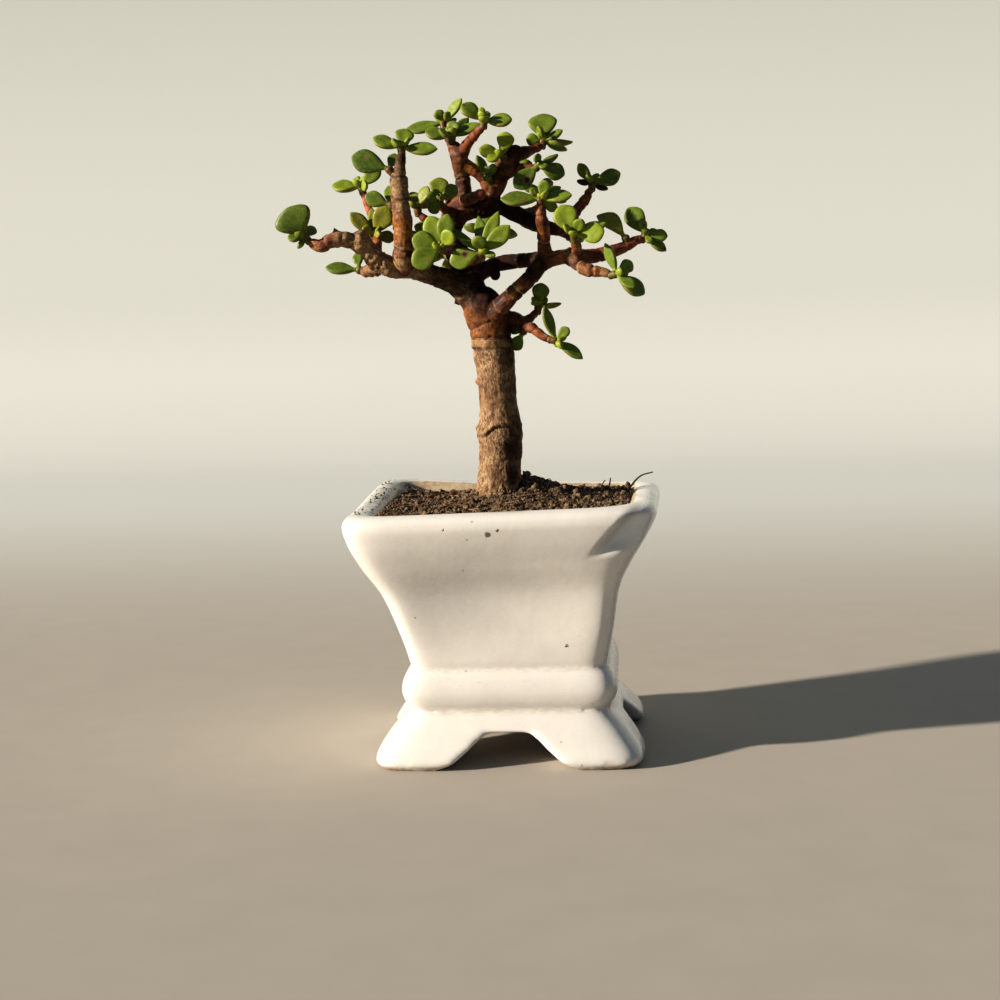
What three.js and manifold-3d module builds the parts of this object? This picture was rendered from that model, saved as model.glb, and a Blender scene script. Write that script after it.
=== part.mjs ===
// A small dwarf jade bonsai in a square, flared, footed pot of white glazed ceramic.
// Millimetres, +Z up. X runs to the right along the pot's front, Y away from the front.
// Places in the tables below are measured from the middle of the pot, with its feet at Z = 0.

import * as THREE from "three";
import { mergeVertices } from "three/addons/utils/BufferGeometryUtils.js";
import Module from "manifold-3d";

const wasm = await Module();
wasm.setup();

// ---------------------------------------------------------------- driving dimensions

// pot: half widths and heights of its square section
const RIM_HALF = 47.4;
const RIM_HEIGHT = 77.4;
const LIP_HEIGHT = 75;
const LIP_HALF_WIDTH = 4.4;
const RIM_LEAN = 0.022;
const RIM_LEVEL_AT = -17;
const NECK_HALF = 30;
const NECK_HEIGHT = 28.5;
const RING_HALF = 32.9;
const RING_HEIGHT = 22.3;
const GROOVE_HALF = 30.4;
const GROOVE_HEIGHT = 16;
const FOOT_HALF = 40.9;
const WALL = 9.2;
const FLOOR_HEIGHT = 18;
const ARCH_HEIGHT = 10;
const ARCH_HALF_BOTTOM = 21;
const ARCH_HALF_TOP = 6;
const DRAIN_RADIUS = 4;
const SQUARENESS = 14;
const POT_SIDES = 24;
const FOOT_STEPS = 3;
const RING_STEPS = 5;
const OUTER_STEPS = 6;
const INNER_STEPS = 4;

// the knock that the front right corner took before firing
const DENT_AT = [43.5, -43.5, 59];
const DENT_DEPTH = 5.5;
const DENT_SPREAD = 17.4;
const DENT_DRAWN_OUT = 2.6;
const CREASE_AT = [34.5, -45.2, 72.5];
const CREASE_LENGTH = 16;
const CREASE_WIDTH = 4;
const CREASE_DEPTH = 2;
const CREASE_TURN = THREE.MathUtils.degToRad(48);

// soil
const SOIL_LEVEL = 75.6;
const MOUND_HEIGHT = 7;
const MOUND_AT = [3, 7];
const MOUND_SPREAD = [12, 9];

// plant
const GAP = 0.3;
const RING_STEP = 3.8;
const KNUCKLE = 0.05;
const TRUNK_SIDES = 10;
const LIMB_SIDES = 7;
const TWIG_SIDES = 5;
const TWIG_RADIUS = 2.2;
const LEAF_SIDES = 6;
const SMALL_LEAF_SIDES = 4;
const SMALL_LEAF = 4;
const LEAF_RINGS = 4;
const LEAF_ROOT = 0.8;
const LEAF_DIP = 0.05;
const ARCH_LEAF_BOW = 0.14;
const LEAF_LEAST_THICKNESS = 1.25;
const LEAF_PLUMPNESS = 0.19;
const LEAF_MOST_PLUMP = 0.8;
const LEAF_RIM_RISE = 0.12;
// Width over length of a broad and of a slim leaf, and how far each one's widest place is out.
const BROAD_LEAF = 0.75;
const SLIM_LEAF = 0.4;
const BROAD_WIDEST = 1.45;
const SLIM_WIDEST = 1.1;
// How blunt a leaf's outline is at its ends and how blunt its edges are; how pointed a slim tip is.
const LEAF_OUTLINE = 0.62;
const LEAF_FLESH = 0.52;
const SLIM_POINT = 0.25;
const SHOOT_STEM_RADIUS = 1.5;
const SHOOT_STEM_RISE = 1.4;

// ---------------------------------------------------------------- materials

const glaze = new THREE.MeshStandardMaterial({ color: 0xe9e4da, roughness: 0.22, metalness: 0 });
const earth = new THREE.MeshStandardMaterial({ color: 0x3b2a1e, roughness: 0.95, metalness: 0 });
const bark = new THREE.MeshStandardMaterial({ color: 0x6b4630, roughness: 0.8, metalness: 0 });
const leafGreen = new THREE.MeshStandardMaterial({ color: 0x6f9a2c, roughness: 0.42, metalness: 0 });

// ---------------------------------------------------------------- solids

// A closed three.js geometry as a solid that can be joined and cut.
function solid(geometry) {
  const bare = geometry.clone();
  bare.deleteAttribute("normal");
  bare.deleteAttribute("uv");
  const merged = mergeVertices(bare, 1e-4);
  return new wasm.Manifold(
    new wasm.Mesh({
      numProp: 3,
      vertProperties: merged.attributes.position.array,
      triVerts: new Uint32Array(merged.index.array),
    }),
  );
}

// The solid's surface as a three.js geometry.
function surface(made) {
  const mesh = made.getMesh();
  const geometry = new THREE.BufferGeometry();
  geometry.setAttribute("position", new THREE.BufferAttribute(mesh.vertProperties, 3));
  geometry.setIndex(new THREE.BufferAttribute(mesh.triVerts, 1));
  geometry.computeVertexNormals();
  return geometry;
}

// The largest of the bodies that a cut leaves: loose scraps are dropped.
function mainBody(made) {
  const bodies = made.decompose();
  return bodies.reduce((a, b) => (b.volume() > a.volume() ? b : a));
}

// Moves every vertex of a geometry to where the function puts it.
function bendVertices(geometry, place) {
  const position = geometry.attributes.position;
  const point = new THREE.Vector3();
  for (let i = 0; i < position.count; i += 1) {
    point.fromBufferAttribute(position, i);
    place(point);
    position.setXYZ(i, point.x, point.y, point.z);
  }
  return geometry;
}

// ---------------------------------------------------------------- pot

// Points of a smooth stretch of outline through the given points.
function smooth(points, steps) {
  const curve = new THREE.SplineCurve(points.map(([r, z]) => new THREE.Vector2(r, z)));
  return curve.getPoints(steps).map((p) => [p.x, p.y]);
}

// A body whose section is a square with rounded corners, from an outline of half width and height.
function squareBody(outline) {
  const profile = outline.map(([r, z]) => new THREE.Vector2(r, z));
  const round = new THREE.LatheGeometry(profile, POT_SIDES);
  const crowd = 0.15;
  return bendVertices(round, (p) => {
    const radius = Math.hypot(p.x, p.z);
    const evenly = Math.atan2(p.x, p.z);
    const angle = evenly + crowd * Math.sin(4 * evenly);
    const c = Math.cos(angle);
    const s = Math.sin(angle);
    const reach = radius / (Math.abs(c) ** SQUARENESS + Math.abs(s) ** SQUARENESS) ** (1 / SQUARENESS);
    p.set(reach * s, -reach * c, p.y);
  });
}

// The dented corner, pushed in towards the pot's middle, in a dent drawn out along the right side.
function dent(p) {
  const away = Math.hypot(p.x - DENT_AT[0], (p.y - DENT_AT[1]) / DENT_DRAWN_OUT, p.z - DENT_AT[2]);
  const push = DENT_DEPTH * Math.exp(-((away / DENT_SPREAD) ** 2));
  p.x -= push * Math.SQRT1_2;
  p.y += push * Math.SQRT1_2;
}

// The rim stands a little higher on the right.
function lean(p) {
  p.z += RIM_LEAN * (p.x - RIM_LEVEL_AT) * (p.z / RIM_HEIGHT) ** 2;
}

const foot = smooth(
  [
    [FOOT_HALF, 2.2], [FOOT_HALF - 5, 9.5],
    [GROOVE_HALF + 1.2, GROOVE_HEIGHT - 2], [GROOVE_HALF, GROOVE_HEIGHT],
  ],
  FOOT_STEPS,
);
const ring = smooth(
  [[GROOVE_HALF, GROOVE_HEIGHT + 0.4], [RING_HALF, RING_HEIGHT], [NECK_HALF, NECK_HEIGHT]],
  RING_STEPS,
);
const outerWall = smooth(
  [[NECK_HALF, NECK_HEIGHT], [31.9, 37], [37.6, 53.1], [43, 61], [46.3, 68], [RIM_HALF, LIP_HEIGHT]],
  OUTER_STEPS,
);
const innerWall = smooth(
  [
    [RIM_HALF - WALL, LIP_HEIGHT - 1], [45.6 - WALL, 66], [37.2 - WALL, 52],
    [NECK_HALF - WALL + 3, 33], [21.5, 20],
  ],
  INNER_STEPS,
);

const shell = squareBody([
  [0, 0],
  [FOOT_HALF - 1.4, 0],
  ...foot,
  ...ring,
  ...outerWall.slice(1),
  [RIM_HALF - 0.7, RIM_HEIGHT - 0.8],
  [RIM_HALF - LIP_HALF_WIDTH + 0.6, RIM_HEIGHT],
  [0, RIM_HEIGHT],
]);
const hollow = squareBody([
  [0, FLOOR_HEIGHT],
  [20, FLOOR_HEIGHT],
  ...innerWall.slice().reverse(),
  [RIM_HALF - WALL + 1, RIM_HEIGHT - 0.9],
  [RIM_HALF - LIP_HALF_WIDTH - 1, RIM_HEIGHT + 0.1],
  [RIM_HALF - LIP_HALF_WIDTH - 1, RIM_HEIGHT + 2],
  [0, RIM_HEIGHT + 2],
]);

// The space between two feet, running right through under the pot.
function archway() {
  const outline = new THREE.Shape();
  outline.moveTo(-ARCH_HALF_BOTTOM - 1, -1);
  outline.lineTo(ARCH_HALF_BOTTOM + 1, -1);
  outline.lineTo(ARCH_HALF_BOTTOM, 0);
  outline.bezierCurveTo(15.5, 1, 10.5, ARCH_HEIGHT - 2.5, ARCH_HALF_TOP, ARCH_HEIGHT);
  outline.lineTo(-ARCH_HALF_TOP, ARCH_HEIGHT);
  outline.bezierCurveTo(-10.5, ARCH_HEIGHT - 2.5, -15.5, 1, -ARCH_HALF_BOTTOM, 0);
  const through = 3 * FOOT_HALF;
  const block = new THREE.ExtrudeGeometry(outline, { depth: through, bevelEnabled: false, curveSegments: 4 });
  return block.translate(0, 0, -through / 2).rotateX(Math.PI / 2);
}

function potSolid() {
  const crease = new THREE.SphereGeometry(1, 8, 6);
  crease.scale(CREASE_LENGTH / 2, CREASE_DEPTH, CREASE_WIDTH / 2);
  crease.rotateY(-CREASE_TURN).translate(...CREASE_AT);
  const drain = new THREE.CylinderGeometry(DRAIN_RADIUS, DRAIN_RADIUS, 3 * FLOOR_HEIGHT, 12);
  drain.rotateX(Math.PI / 2);
  return solid(bendVertices(bendVertices(shell, dent), lean))
    .subtract(solid(bendVertices(hollow, lean)))
    .subtract(solid(archway()))
    .subtract(solid(archway().rotateZ(Math.PI / 2)))
    .subtract(solid(crease))
    .subtract(solid(drain));
}

// ---------------------------------------------------------------- wood

// Each limb is a run of [x, y, z, radius]. The first starts at the root end, which the soil holds.
const LIMBS = {
  trunk: [
    [-3.5, 2, 60, 6.2], [-3.5, 2, 70, 7.6], [-3.5, 2, 77.5, 7.4], [-3, 2, 87, 6.6], [-2.5, 2, 97, 6.9],
    [-3, 1.5, 107.5, 5.8], [-3.5, 1, 119.5, 6.1], [-4, 1, 124.5, 6.2], [-5.5, 0.5, 132, 6.3],
    [-7.5, 0, 138, 6.4], [-10.5, 0, 141.5, 5.4],
  ],
  left_limb: [
    [-9.5, 0, 139.5, 4.6], [-15, -2, 144, 3.7], [-22.5, -5, 147, 3.1], [-28, -8, 148.5, 2.8],
    [-33, -10, 149, 3], [-37.5, -12, 152, 3], [-40, -13, 155, 2.7], [-42.5, -14, 157, 3.3],
    [-45, -15, 157.5, 2.3], [-48, -16, 158, 2.4], [-51, -17, 157.5, 2.3], [-53.5, -18, 156, 2.1],
    [-56, -18, 157, 1.5], [-57.5, -18, 158, 1.2],
  ],
  left_spur: [[-43, -6, 148.5, 1.4], [-40.5, -7.5, 148.5, 2], [-36, -11, 150, 2.4]],
  post: [
    [-30, -9.5, 149, 2.6], [-29.5, -13, 152.5, 3], [-29, -14, 160.5, 3], [-29.5, -14, 167.5, 2.8],
    [-30, -13, 173.5, 2.8], [-30, -13, 176.5, 2.5], [-29.5, -13, 179.5, 1.8], [-29, -12, 183.5, 1.4],
  ],
  leader: [
    [-10, 1, 139.5, 5.3], [-12.5, 3, 147.5, 4.3], [-15, 5, 154.5, 3.6], [-16.5, 6, 160, 3.2],
    [-15.5, 7, 165, 4.2], [-13.5, 7, 169, 3.6],
  ],
  up_branch: [
    [-13.5, 7, 167.5, 3.1], [-12.5, 6, 172, 2.6], [-12.5, 5, 177.5, 2.4], [-13, 3, 181, 2.7],
    [-13.5, 2, 184, 2.6], [-15, 1, 187.5, 1.4],
  ],
  top_left_twig: [[-14, 4, 184, 1.9], [-16.5, 9, 188.5, 1.4], [-18.5, 12, 193, 1.1]],
  top_twig: [[-12.5, 3, 183, 1.9], [-10.5, 0, 186, 1.7], [-7.5, -4, 188.5, 1.5], [-4.5, -7, 191, 1.2]],
  cross_twig: [[-12.5, 3, 181, 2.1], [-8.5, 3, 178.5, 1.8], [-5, 4, 175, 2], [-4.5, 4, 170.5, 2]],
  stub: [[-13, 5, 169.5, 1.9], [-9, -1, 170, 1.8], [-5, -6, 171, 1.5]],
  thick_branch: [
    [-12.5, 7, 167.5, 3.4], [-7.5, 6, 168.5, 3.1], [-4, 5, 171, 2.9], [-1.5, 4, 174.5, 2.9],
    [0, 3, 178, 2.8], [2, 2, 180.5, 2.8], [4.5, 2, 183.5, 2.6], [5.5, 2, 185.5, 2],
  ],
  top_right_twig: [[4, 2, 182.5, 2.1], [7, 4, 183.5, 1.9], [9.5, 6, 184.5, 1.5], [12.5, 8, 186, 1.2]],
  inner_twig: [[0.5, 2, 177, 2], [5, 1, 178.5, 1.5], [8.5, 0, 178.5, 1.4], [11, -1, 178.5, 1.1]],
  right_branch: [
    [-13, 7, 167.5, 3.7], [-7, 7, 167, 3.1], [-1, 7, 167.5, 2.8], [4, 6, 165, 2.6],
    [8.5, 6, 162.5, 2.5], [13.5, 6, 160.5, 2.3], [19.5, 6, 159.5, 1.8],
  ],
  right_upper_twig: [
    [18.5, 6, 159.5, 1.7], [21, 7, 162, 1.7], [22.5, 8, 165.5, 1.6], [25, 9, 168.5, 1.8],
    [27.5, 9, 172.5, 1.2],
  ],
  level_branch: [[-10, 3, 146, 2.6], [-3, 5, 149.5, 2.4], [5, 3, 150.5, 2.3], [13, -4, 150.5, 2.5]],
  diagonal_limb: [
    [-5, -1.5, 132.5, 3.2], [-1, -5, 136.5, 2.8], [4.5, -7, 141.5, 2.5], [8, -7, 144.5, 2.6],
    [10.5, -7, 147.5, 2.6], [13.5, -7, 150.5, 2.6],
  ],
  right_limb: [
    [11.5, -6, 149.5, 2.4], [18.5, -8, 151, 2.3], [23, -8, 151, 2.4], [27.5, -7, 151, 2.3],
    [32.5, -5, 152, 2], [37, -3, 153.5, 1.8], [41, -2, 155.5, 1.5], [43, -1, 156, 1.2],
  ],
  right_low_twig: [
    [21, -9, 150.5, 2], [24.5, -12, 147.5, 2], [27, -13, 146.5, 2], [30.5, -14, 146, 1.5],
    [33.5, -15, 145, 1.2],
  ],
  right_post: [
    [13.5, -6, 150.5, 2.3], [13, -8, 154.5, 2], [13, -10, 159, 2.1], [12.5, -12, 163.5, 1.8],
    [12.5, -12, 167, 1.3],
  ],
  front_twig: [[23, -8, 151, 1.6], [23, -13, 153.5, 1.6], [22.5, -16, 156, 1.3]],
  red_stub: [[-4, 4, 150, 1.7], [-3, 2, 147, 1.7], [-2.5, 0, 145, 1.4]],
  hanging_twig: [
    [-2.5, 2, 133.5, 2.8], [2, 2, 132.5, 2.6], [5, 0, 131.5, 2.2], [7, -2, 130.5, 1.9],
    [9.5, -4, 129, 1.5], [12, -5, 127, 1.3], [14.5, -6, 126, 1.1],
  ],
  hanging_fork: [[6, -1, 131.5, 1.6], [8, 1, 133, 1.3], [10, 3, 135, 1.1]],
  young_twig: [[-38, -11.5, 152, 1.5], [-38.5, -6, 155.5, 1.2], [-39.5, -3, 158, 1.1]],
  left_upper_twig: [
    [-38, -11, 153, 1.6], [-38.5, -3, 160, 1.3], [-41, 3, 166, 1.4], [-42.5, 5, 169, 1.2], [-44, 6, 173.5, 1],
  ],
  front_mid_twig: [[-13, 2, 150.5, 1.7], [-9.5, -7, 150.5, 1.5], [-5.5, -16, 152, 1.2]],
  front_left_twig: [[-15, 4, 154.5, 1.7], [-16, -6, 154, 1.4], [-17, -16, 154, 1.2]],
  mid_upper_twig: [[-15, 6, 165.5, 1.7], [-17.5, 2, 166.5, 1.5], [-19, -2, 168.5, 1.2]],
  mid_left_twig: [[-16.5, 6, 162.5, 1.6], [-22, 7, 163, 1.3], [-25, 8, 164.5, 1.3], [-27, 8, 166.5, 1]],
  back_limb: [
    [-9, 1, 140.5, 3.4], [-10, 9, 146, 2.8], [-10, 17, 151, 2.4], [-8, 24, 155, 1.9], [-7, 30, 160, 1.3],
  ],
  back_low_twig: [[-10, 16, 150.5, 1.8], [-15, 24, 152, 1.5], [-20, 29, 153, 1.2]],
  back_left_limb: [[-22, -5, 147, 2.6], [-25, 4, 150, 2.2], [-27, 13, 154, 1.8], [-28, 20, 158, 1.3]],
  back_left_twig: [[-26, 9, 152, 1.6], [-32, 14, 158, 1.4], [-35, 17, 163, 1.1]],
  back_right_limb: [[3, 6, 165.5, 2.3], [6, 12, 165, 2], [10, 18, 167, 1.6], [12, 22, 171, 1.2]],
  back_right_twig: [[7, 13, 165.5, 1.5], [14, 17, 161, 1.4], [20, 20, 158, 1.1]],
  back_top_twig: [[-0.5, 3, 175.5, 1.9], [1, 9, 177.5, 1.5], [2.5, 14, 180, 1.1]],
  back_upper_twig: [[-15, 7, 165, 2], [-17, 11, 168, 1.5], [-18, 15, 171, 1.1]],
};

// A closed limb along a smooth path, thicker by the margin, with a low knuckle at every other ring.
function limb(run, sides, margin) {
  const points = run.map(([x, y, z]) => new THREE.Vector3(x, y, z));
  const path = new THREE.CatmullRomCurve3(points);
  const rings = Math.max(2, Math.round(path.getLength() / RING_STEP));
  const frames = path.computeFrenetFrames(rings, false);
  const rod = new THREE.CylinderGeometry(1, 1, 1, sides, rings);
  return bendVertices(rod, (p) => {
    const along = p.y + 0.5;
    const ring = Math.round(along * rings);
    const spot = path.getPoint(along);
    const place = along * (run.length - 1);
    const before = Math.min(Math.floor(place), run.length - 2);
    const radius = THREE.MathUtils.lerp(run[before][3], run[before + 1][3], place - before);
    const knuckle = ring % 2 ? 1 + KNUCKLE : 1 - KNUCKLE;
    const reach = Math.hypot(p.x, p.z) * (radius * knuckle + margin);
    const angle = Math.atan2(p.z, p.x);
    const end = ring === 0 ? -margin : ring === rings ? margin : 0;
    p.copy(spot)
      .addScaledVector(frames.normals[ring], reach * Math.cos(angle))
      .addScaledVector(frames.binormals[ring], -reach * Math.sin(angle))
      .addScaledVector(frames.tangents[ring], end);
  });
}

// The whole plant's wood as one solid, thicker all over by the margin.
function woodSolid(margin) {
  let joined = null;
  for (const [name, run] of Object.entries(LIMBS)) {
    const thickest = Math.max(...run.map((point) => point[3]));
    const sides = name === "trunk" ? TRUNK_SIDES : thickest > TWIG_RADIUS ? LIMB_SIDES : TWIG_SIDES;
    const piece = solid(limb(run, sides, margin));
    joined = joined ? joined.add(piece) : piece;
  }
  return joined;
}

// ---------------------------------------------------------------- leaves

// The way a leaf's upper face looks.
const UP = [0, 0, 1];
const FRONT = [0, -1, 0];
const UP_FRONT = [0, -0.7, 0.7];
const FRONT_LEFT = [-0.7, -0.7, 0];
const FRONT_RIGHT = [0.7, -0.7, 0];

// Each shoot sits on the end of its twig, or on the bark at a knuckle. A leaf is the way from there
// to its tip, its width and its face: [x, y, z, width, face].
const SHOOTS = {
  far_left: {
    at: [-57.5, -18, 158], axis: [-0.5, -0.3, 0.8],
    leaves: [
      [-5.5, -3, 9.5, 12, FRONT], [-5.5, -3, 0.5, 3.8, UP_FRONT], [-3, -1, -2.5, 3.2, UP],
      [1.5, 4, 4, 3.5, FRONT],
    ],
  },
  left_upper: {
    at: [-44, 6, 173.5], axis: [-0.2, -0.2, 1],
    leaves: [
      [-9.5, -1, 2, 6, UP_FRONT], [-3.5, 4, 4, 4, FRONT], [6, -2, 7.5, 5, FRONT],
      [2, -5, 1.5, 3.5, FRONT],
    ],
  },
  post_leaf: {
    at: [-32, -13, 177.5], axis: [-0.6, -0.2, 0.7],
    leaves: [[-12, -1, 5, 7.2, FRONT], [0.5, 4, 6, 3.5, FRONT]],
  },
  post_top: {
    at: [-29, -12, 183.5], axis: [0, -0.2, 1],
    leaves: [
      [-8.5, -1, 4.5, 5.2, UP_FRONT], [1.5, 1, 7, 6, FRONT], [-2, -4, 3, 4, UP_FRONT],
      [11, -1, 0.5, 5.5, UP_FRONT], [0, 5, 3, 3.5, UP],
    ],
  },
  top_left: {
    at: [-18.5, 12, 193], axis: [-0.1, 0.1, 1],
    leaves: [
      [-12, -1, -0.5, 5.5, UP_FRONT], [-2, -2, 5, 3.5, FRONT], [6, -1, 8.5, 4, FRONT_LEFT],
      [2.5, 6, 3, 4.5, UP],
    ],
  },
  top_front: {
    at: [-15, 1, 187.5], axis: [0, -0.2, 1],
    leaves: [
      [-8, -2, 3, 5.5, UP_FRONT], [-3, -5, 2.5, 4.5, UP_FRONT], [1, -1, 6, 4.5, UP_FRONT],
      [5, 5, 7.5, 3.5, FRONT], [9, 0, 5, 4.5, UP_FRONT],
    ],
  },
  top: {
    at: [-4.5, -7, 191], axis: [0.1, -0.1, 1],
    leaves: [
      [-6.5, -0.5, 6.5, 5.5, UP_FRONT], [8.8, -1, 1.3, 6.2, UP_FRONT], [-0.5, -1, 5.5, 2.2, FRONT],
      [0.5, 5, 4, 3.5, UP], [0.5, -5, 2, 3.5, UP],
    ],
  },
  top_mid: {
    at: [1, -0.5, 181.5], axis: [-0.2, -0.5, 0.9],
    leaves: [[-7.5, -3, 3, 4.2, FRONT], [1, -1, 8, 5.5, FRONT], [-5, -4, -0.5, 3.5, UP_FRONT]],
  },
  top_fork: {
    at: [-3.5, 2, 175], axis: [-0.3, -0.7, 0.6],
    leaves: [[-4, -1, 8, 3.5, FRONT_RIGHT], [1.5, -3, 5, 2.8, FRONT]],
  },
  top_right: {
    at: [12.5, 8, 186], axis: [0.3, -0.3, 1],
    leaves: [
      [0.3, 2, 9.8, 9.2, FRONT], [-1, -4, 5.5, 2.8, FRONT_LEFT], [6.5, -3, 4, 3.8, UP_FRONT],
      [9.5, -1, 0.5, 5, UP], [-5, -1, 2, 4, FRONT], [7.5, 4, -1.5, 5, UP],
    ],
  },
  inner_right: {
    at: [11, -1, 178.5], axis: [0.3, -0.6, 0.3],
    leaves: [[8.5, 0, -2.5, 5.5, FRONT], [-7, -1, -6, 6, FRONT], [6.5, 3, 4, 3.8, UP]],
  },
  right_post: {
    at: [12.5, -12, 167], axis: [0, -0.4, 0.9],
    leaves: [
      [-12, -2, 1.5, 6, UP_FRONT], [2, -3, 6.5, 4, FRONT], [6, 4, 5, 3.5, FRONT],
      [9.5, -2, 2, 5, UP_FRONT], [-3, -1, 4.5, 2.8, UP_FRONT], [5, 4, -2, 3.5, FRONT],
    ],
  },
  right_upper: {
    at: [27.5, 9, 172.5], axis: [0.1, -0.2, 1],
    leaves: [
      [-4, -1, 7.5, 4.5, FRONT_LEFT], [9, -1, 4.2, 5.4, FRONT], [-4.5, 2, 2.5, 4, UP],
      [5, 2, -0.5, 3.5, UP],
    ],
  },
  right_front: {
    at: [22.5, -16, 156], axis: [0, -0.6, 0.8],
    leaves: [
      [-4, 0, 10, 7.5, FRONT], [-3, -4, 4, 2.8, UP_FRONT], [2.5, -5, 5.5, 3.8, FRONT],
      [9.5, 2, 4.5, 5, UP_FRONT], [9, -4, 2, 6.3, FRONT],
    ],
  },
  arch_leaf: {
    at: [38, -3, 155.2], axis: [-0.3, -0.4, 1], bow: ARCH_LEAF_BOW,
    leaves: [[-9, -2, 8, 5.2, FRONT]],
  },
  far_right: {
    at: [43, -1, 156], axis: [0.5, -0.3, 0.7],
    leaves: [
      [-4.5, 1, 9.5, 6.5, FRONT], [-0.5, -3, 6, 2.8, FRONT], [7.5, -1, 0.5, 4, FRONT],
      [7, -1, -4, 4, UP_FRONT], [2.5, -4, -1.5, 2.4, UP_FRONT],
    ],
  },
  right_low: {
    at: [33.5, -15, 145], axis: [0.8, -0.3, 0.2],
    leaves: [
      [-2, -1, 9.5, 4, FRONT_LEFT], [6, 2, 3.8, 4.4, FRONT], [6.5, -5, -4, 4, UP_FRONT],
      [9.5, -1, -6, 6.5, UP_FRONT],
    ],
  },
  front_mid: {
    at: [-5.5, -16, 152], axis: [0.1, -0.7, 0.7],
    leaves: [
      [5.5, 1, 13, 4.2, FRONT], [9, -2, 8.5, 5.5, FRONT], [-0.5, -5, 5.5, 4.8, FRONT],
      [-9.5, -1, -2, 6.5, FRONT], [4.5, -4, -0.5, 2.8, UP_FRONT], [-9, 1, 8.5, 3, UP_FRONT],
      [-1, 5, 12, 4, FRONT],
    ],
  },
  front_left: {
    at: [-17, -16, 154], axis: [-0.1, -0.8, 0.6],
    leaves: [
      [-4, -1, 10, 6.2, FRONT], [2, -2, 10.5, 5.5, FRONT], [-9, -2, 3.5, 6.5, FRONT],
      [3.5, -6, 5, 5, FRONT], [-9, -3, -4.5, 7, FRONT],
    ],
  },
  mid_upper: {
    at: [-19, -2, 168.5], axis: [0, -0.5, 0.6],
    leaves: [
      [0, 1, 8, 6, FRONT], [5.5, -1, 5, 4.5, FRONT], [-4, -3, 2, 4, FRONT], [-2.5, -4, -3, 4, FRONT],
    ],
  },
  mid_left: {
    at: [-27, 8, 166.5], axis: [-0.1, -0.3, 1],
    leaves: [[3.5, -1, 8, 5, FRONT_LEFT], [-2.5, 2, 6.5, 4, FRONT], [3, 4, 3.5, 3.5, FRONT]],
  },
  left_young: {
    at: [-39.5, -3, 158], axis: [-0.1, -0.3, 1],
    leaves: [
      [-7, -2, 8.5, 4.5, FRONT], [-1, 2.5, 10, 3.5, FRONT], [5, -2, 10, 6.5, FRONT],
      [-3, -3, 4, 3.5, FRONT], [2.5, -5, 1.5, 2.4, FRONT], [6, 3, 0.5, 4, FRONT],
    ],
  },
  post_leaf_low: {
    at: [-31.5, -13, 167.5], axis: [-0.9, 0.2, 0.3],
    leaves: [[-9, 0, 3.5, 5, FRONT], [-2.5, 5, 6.5, 3.5, FRONT]],
  },
  left_low: {
    at: [-43, -6, 148.5], axis: [-0.8, -0.1, 0.3],
    leaves: [[-11.5, -1, 1.5, 4.8, UP_FRONT], [-1.5, 2, 6, 3.5, FRONT]],
  },
  hanging_up: {
    at: [10, 3, 135], axis: [0.2, -0.2, 1],
    leaves: [[1.5, -1, 8.5, 5.5, FRONT], [7.5, -1, 2, 3.2, UP], [-1.5, 4, 3.5, 3, FRONT]],
  },
  hanging_tip: {
    at: [14.5, -6, 126], axis: [0.8, -0.2, -0.1],
    leaves: [
      [-2, -1, 10.5, 4, FRONT_RIGHT], [5.5, -2, 3.5, 3.5, FRONT], [9.5, -1, -6, 4.2, UP_FRONT],
      [2, 4, -2, 3, UP],
    ],
  },
  hanging_back: {
    at: [6, 0, 129.5], axis: [-0.4, 0.5, -0.7],
    leaves: [[-5, 4, 0.5, 3.2, FRONT], [-4, 2, -6.5, 4.5, FRONT]],
  },
};

// Shoots behind the trunk, each with opposite pairs that turn a quarter from pair to pair.
const PAIRED_SHOOTS = {
  back_mid: { at: [-7, 30, 160], axis: [0.1, 0.5, 0.9], roll: 20, size: 9.5 },
  back_low: { at: [-20, 29, 153], axis: [-0.5, 0.6, 0.5], roll: 60, size: 8.5 },
  back_left: { at: [-28, 20, 158], axis: [-0.1, 0.6, 0.8], roll: 10, size: 8 },
  back_left_high: { at: [-35, 17, 163], axis: [-0.4, 0.4, 0.9], roll: 45, size: 7.5 },
  back_right: { at: [12, 22, 171], axis: [0.2, 0.5, 0.9], roll: 30, size: 8.5 },
  back_right_low: { at: [20, 20, 158], axis: [0.7, 0.5, 0.2], roll: 80, size: 8 },
  back_top: { at: [2.5, 14, 180], axis: [0.1, 0.6, 0.7], roll: 0, size: 7 },
  back_upper: { at: [-18, 15, 171], axis: [-0.2, 0.6, 0.8], roll: 50, size: 7 },
};
const PAIRS = [
  { reach: 1, tilt: 78, width: 0.56 },
  { reach: 0.82, tilt: 58, width: 0.58 },
  { reach: 0.5, tilt: 30, width: 0.6 },
];
const JITTER = 0.12;

let seed = 4711;
function random() {
  seed = (seed * 16807) % 2147483647;
  return seed / 2147483647;
}

// The leaves of a paired shoot in the same form as the tables above, faces turned to its axis.
function pairedLeaves({ axis, roll, size }) {
  const up = new THREE.Vector3(...axis).normalize();
  const side = new THREE.Vector3(0, 0, 1).cross(up).normalize();
  const leaves = [];
  PAIRS.forEach(({ reach, tilt, width }, pair) => {
    for (const half of [0, 180]) {
      const length = reach * size * (1 + JITTER * (2 * random() - 1));
      const turn = THREE.MathUtils.degToRad(roll + half + 90 * pair + 20 * (random() - 0.5));
      const lean = THREE.MathUtils.degToRad(tilt + 12 * (random() - 0.5));
      const out = side.clone().applyAxisAngle(up, turn).multiplyScalar(Math.sin(lean));
      const way = out.addScaledVector(up, Math.cos(lean)).multiplyScalar(length);
      leaves.push([way.x, way.y, way.z, Math.max(2.6, width * length), axis]);
    }
  });
  return leaves;
}

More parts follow.
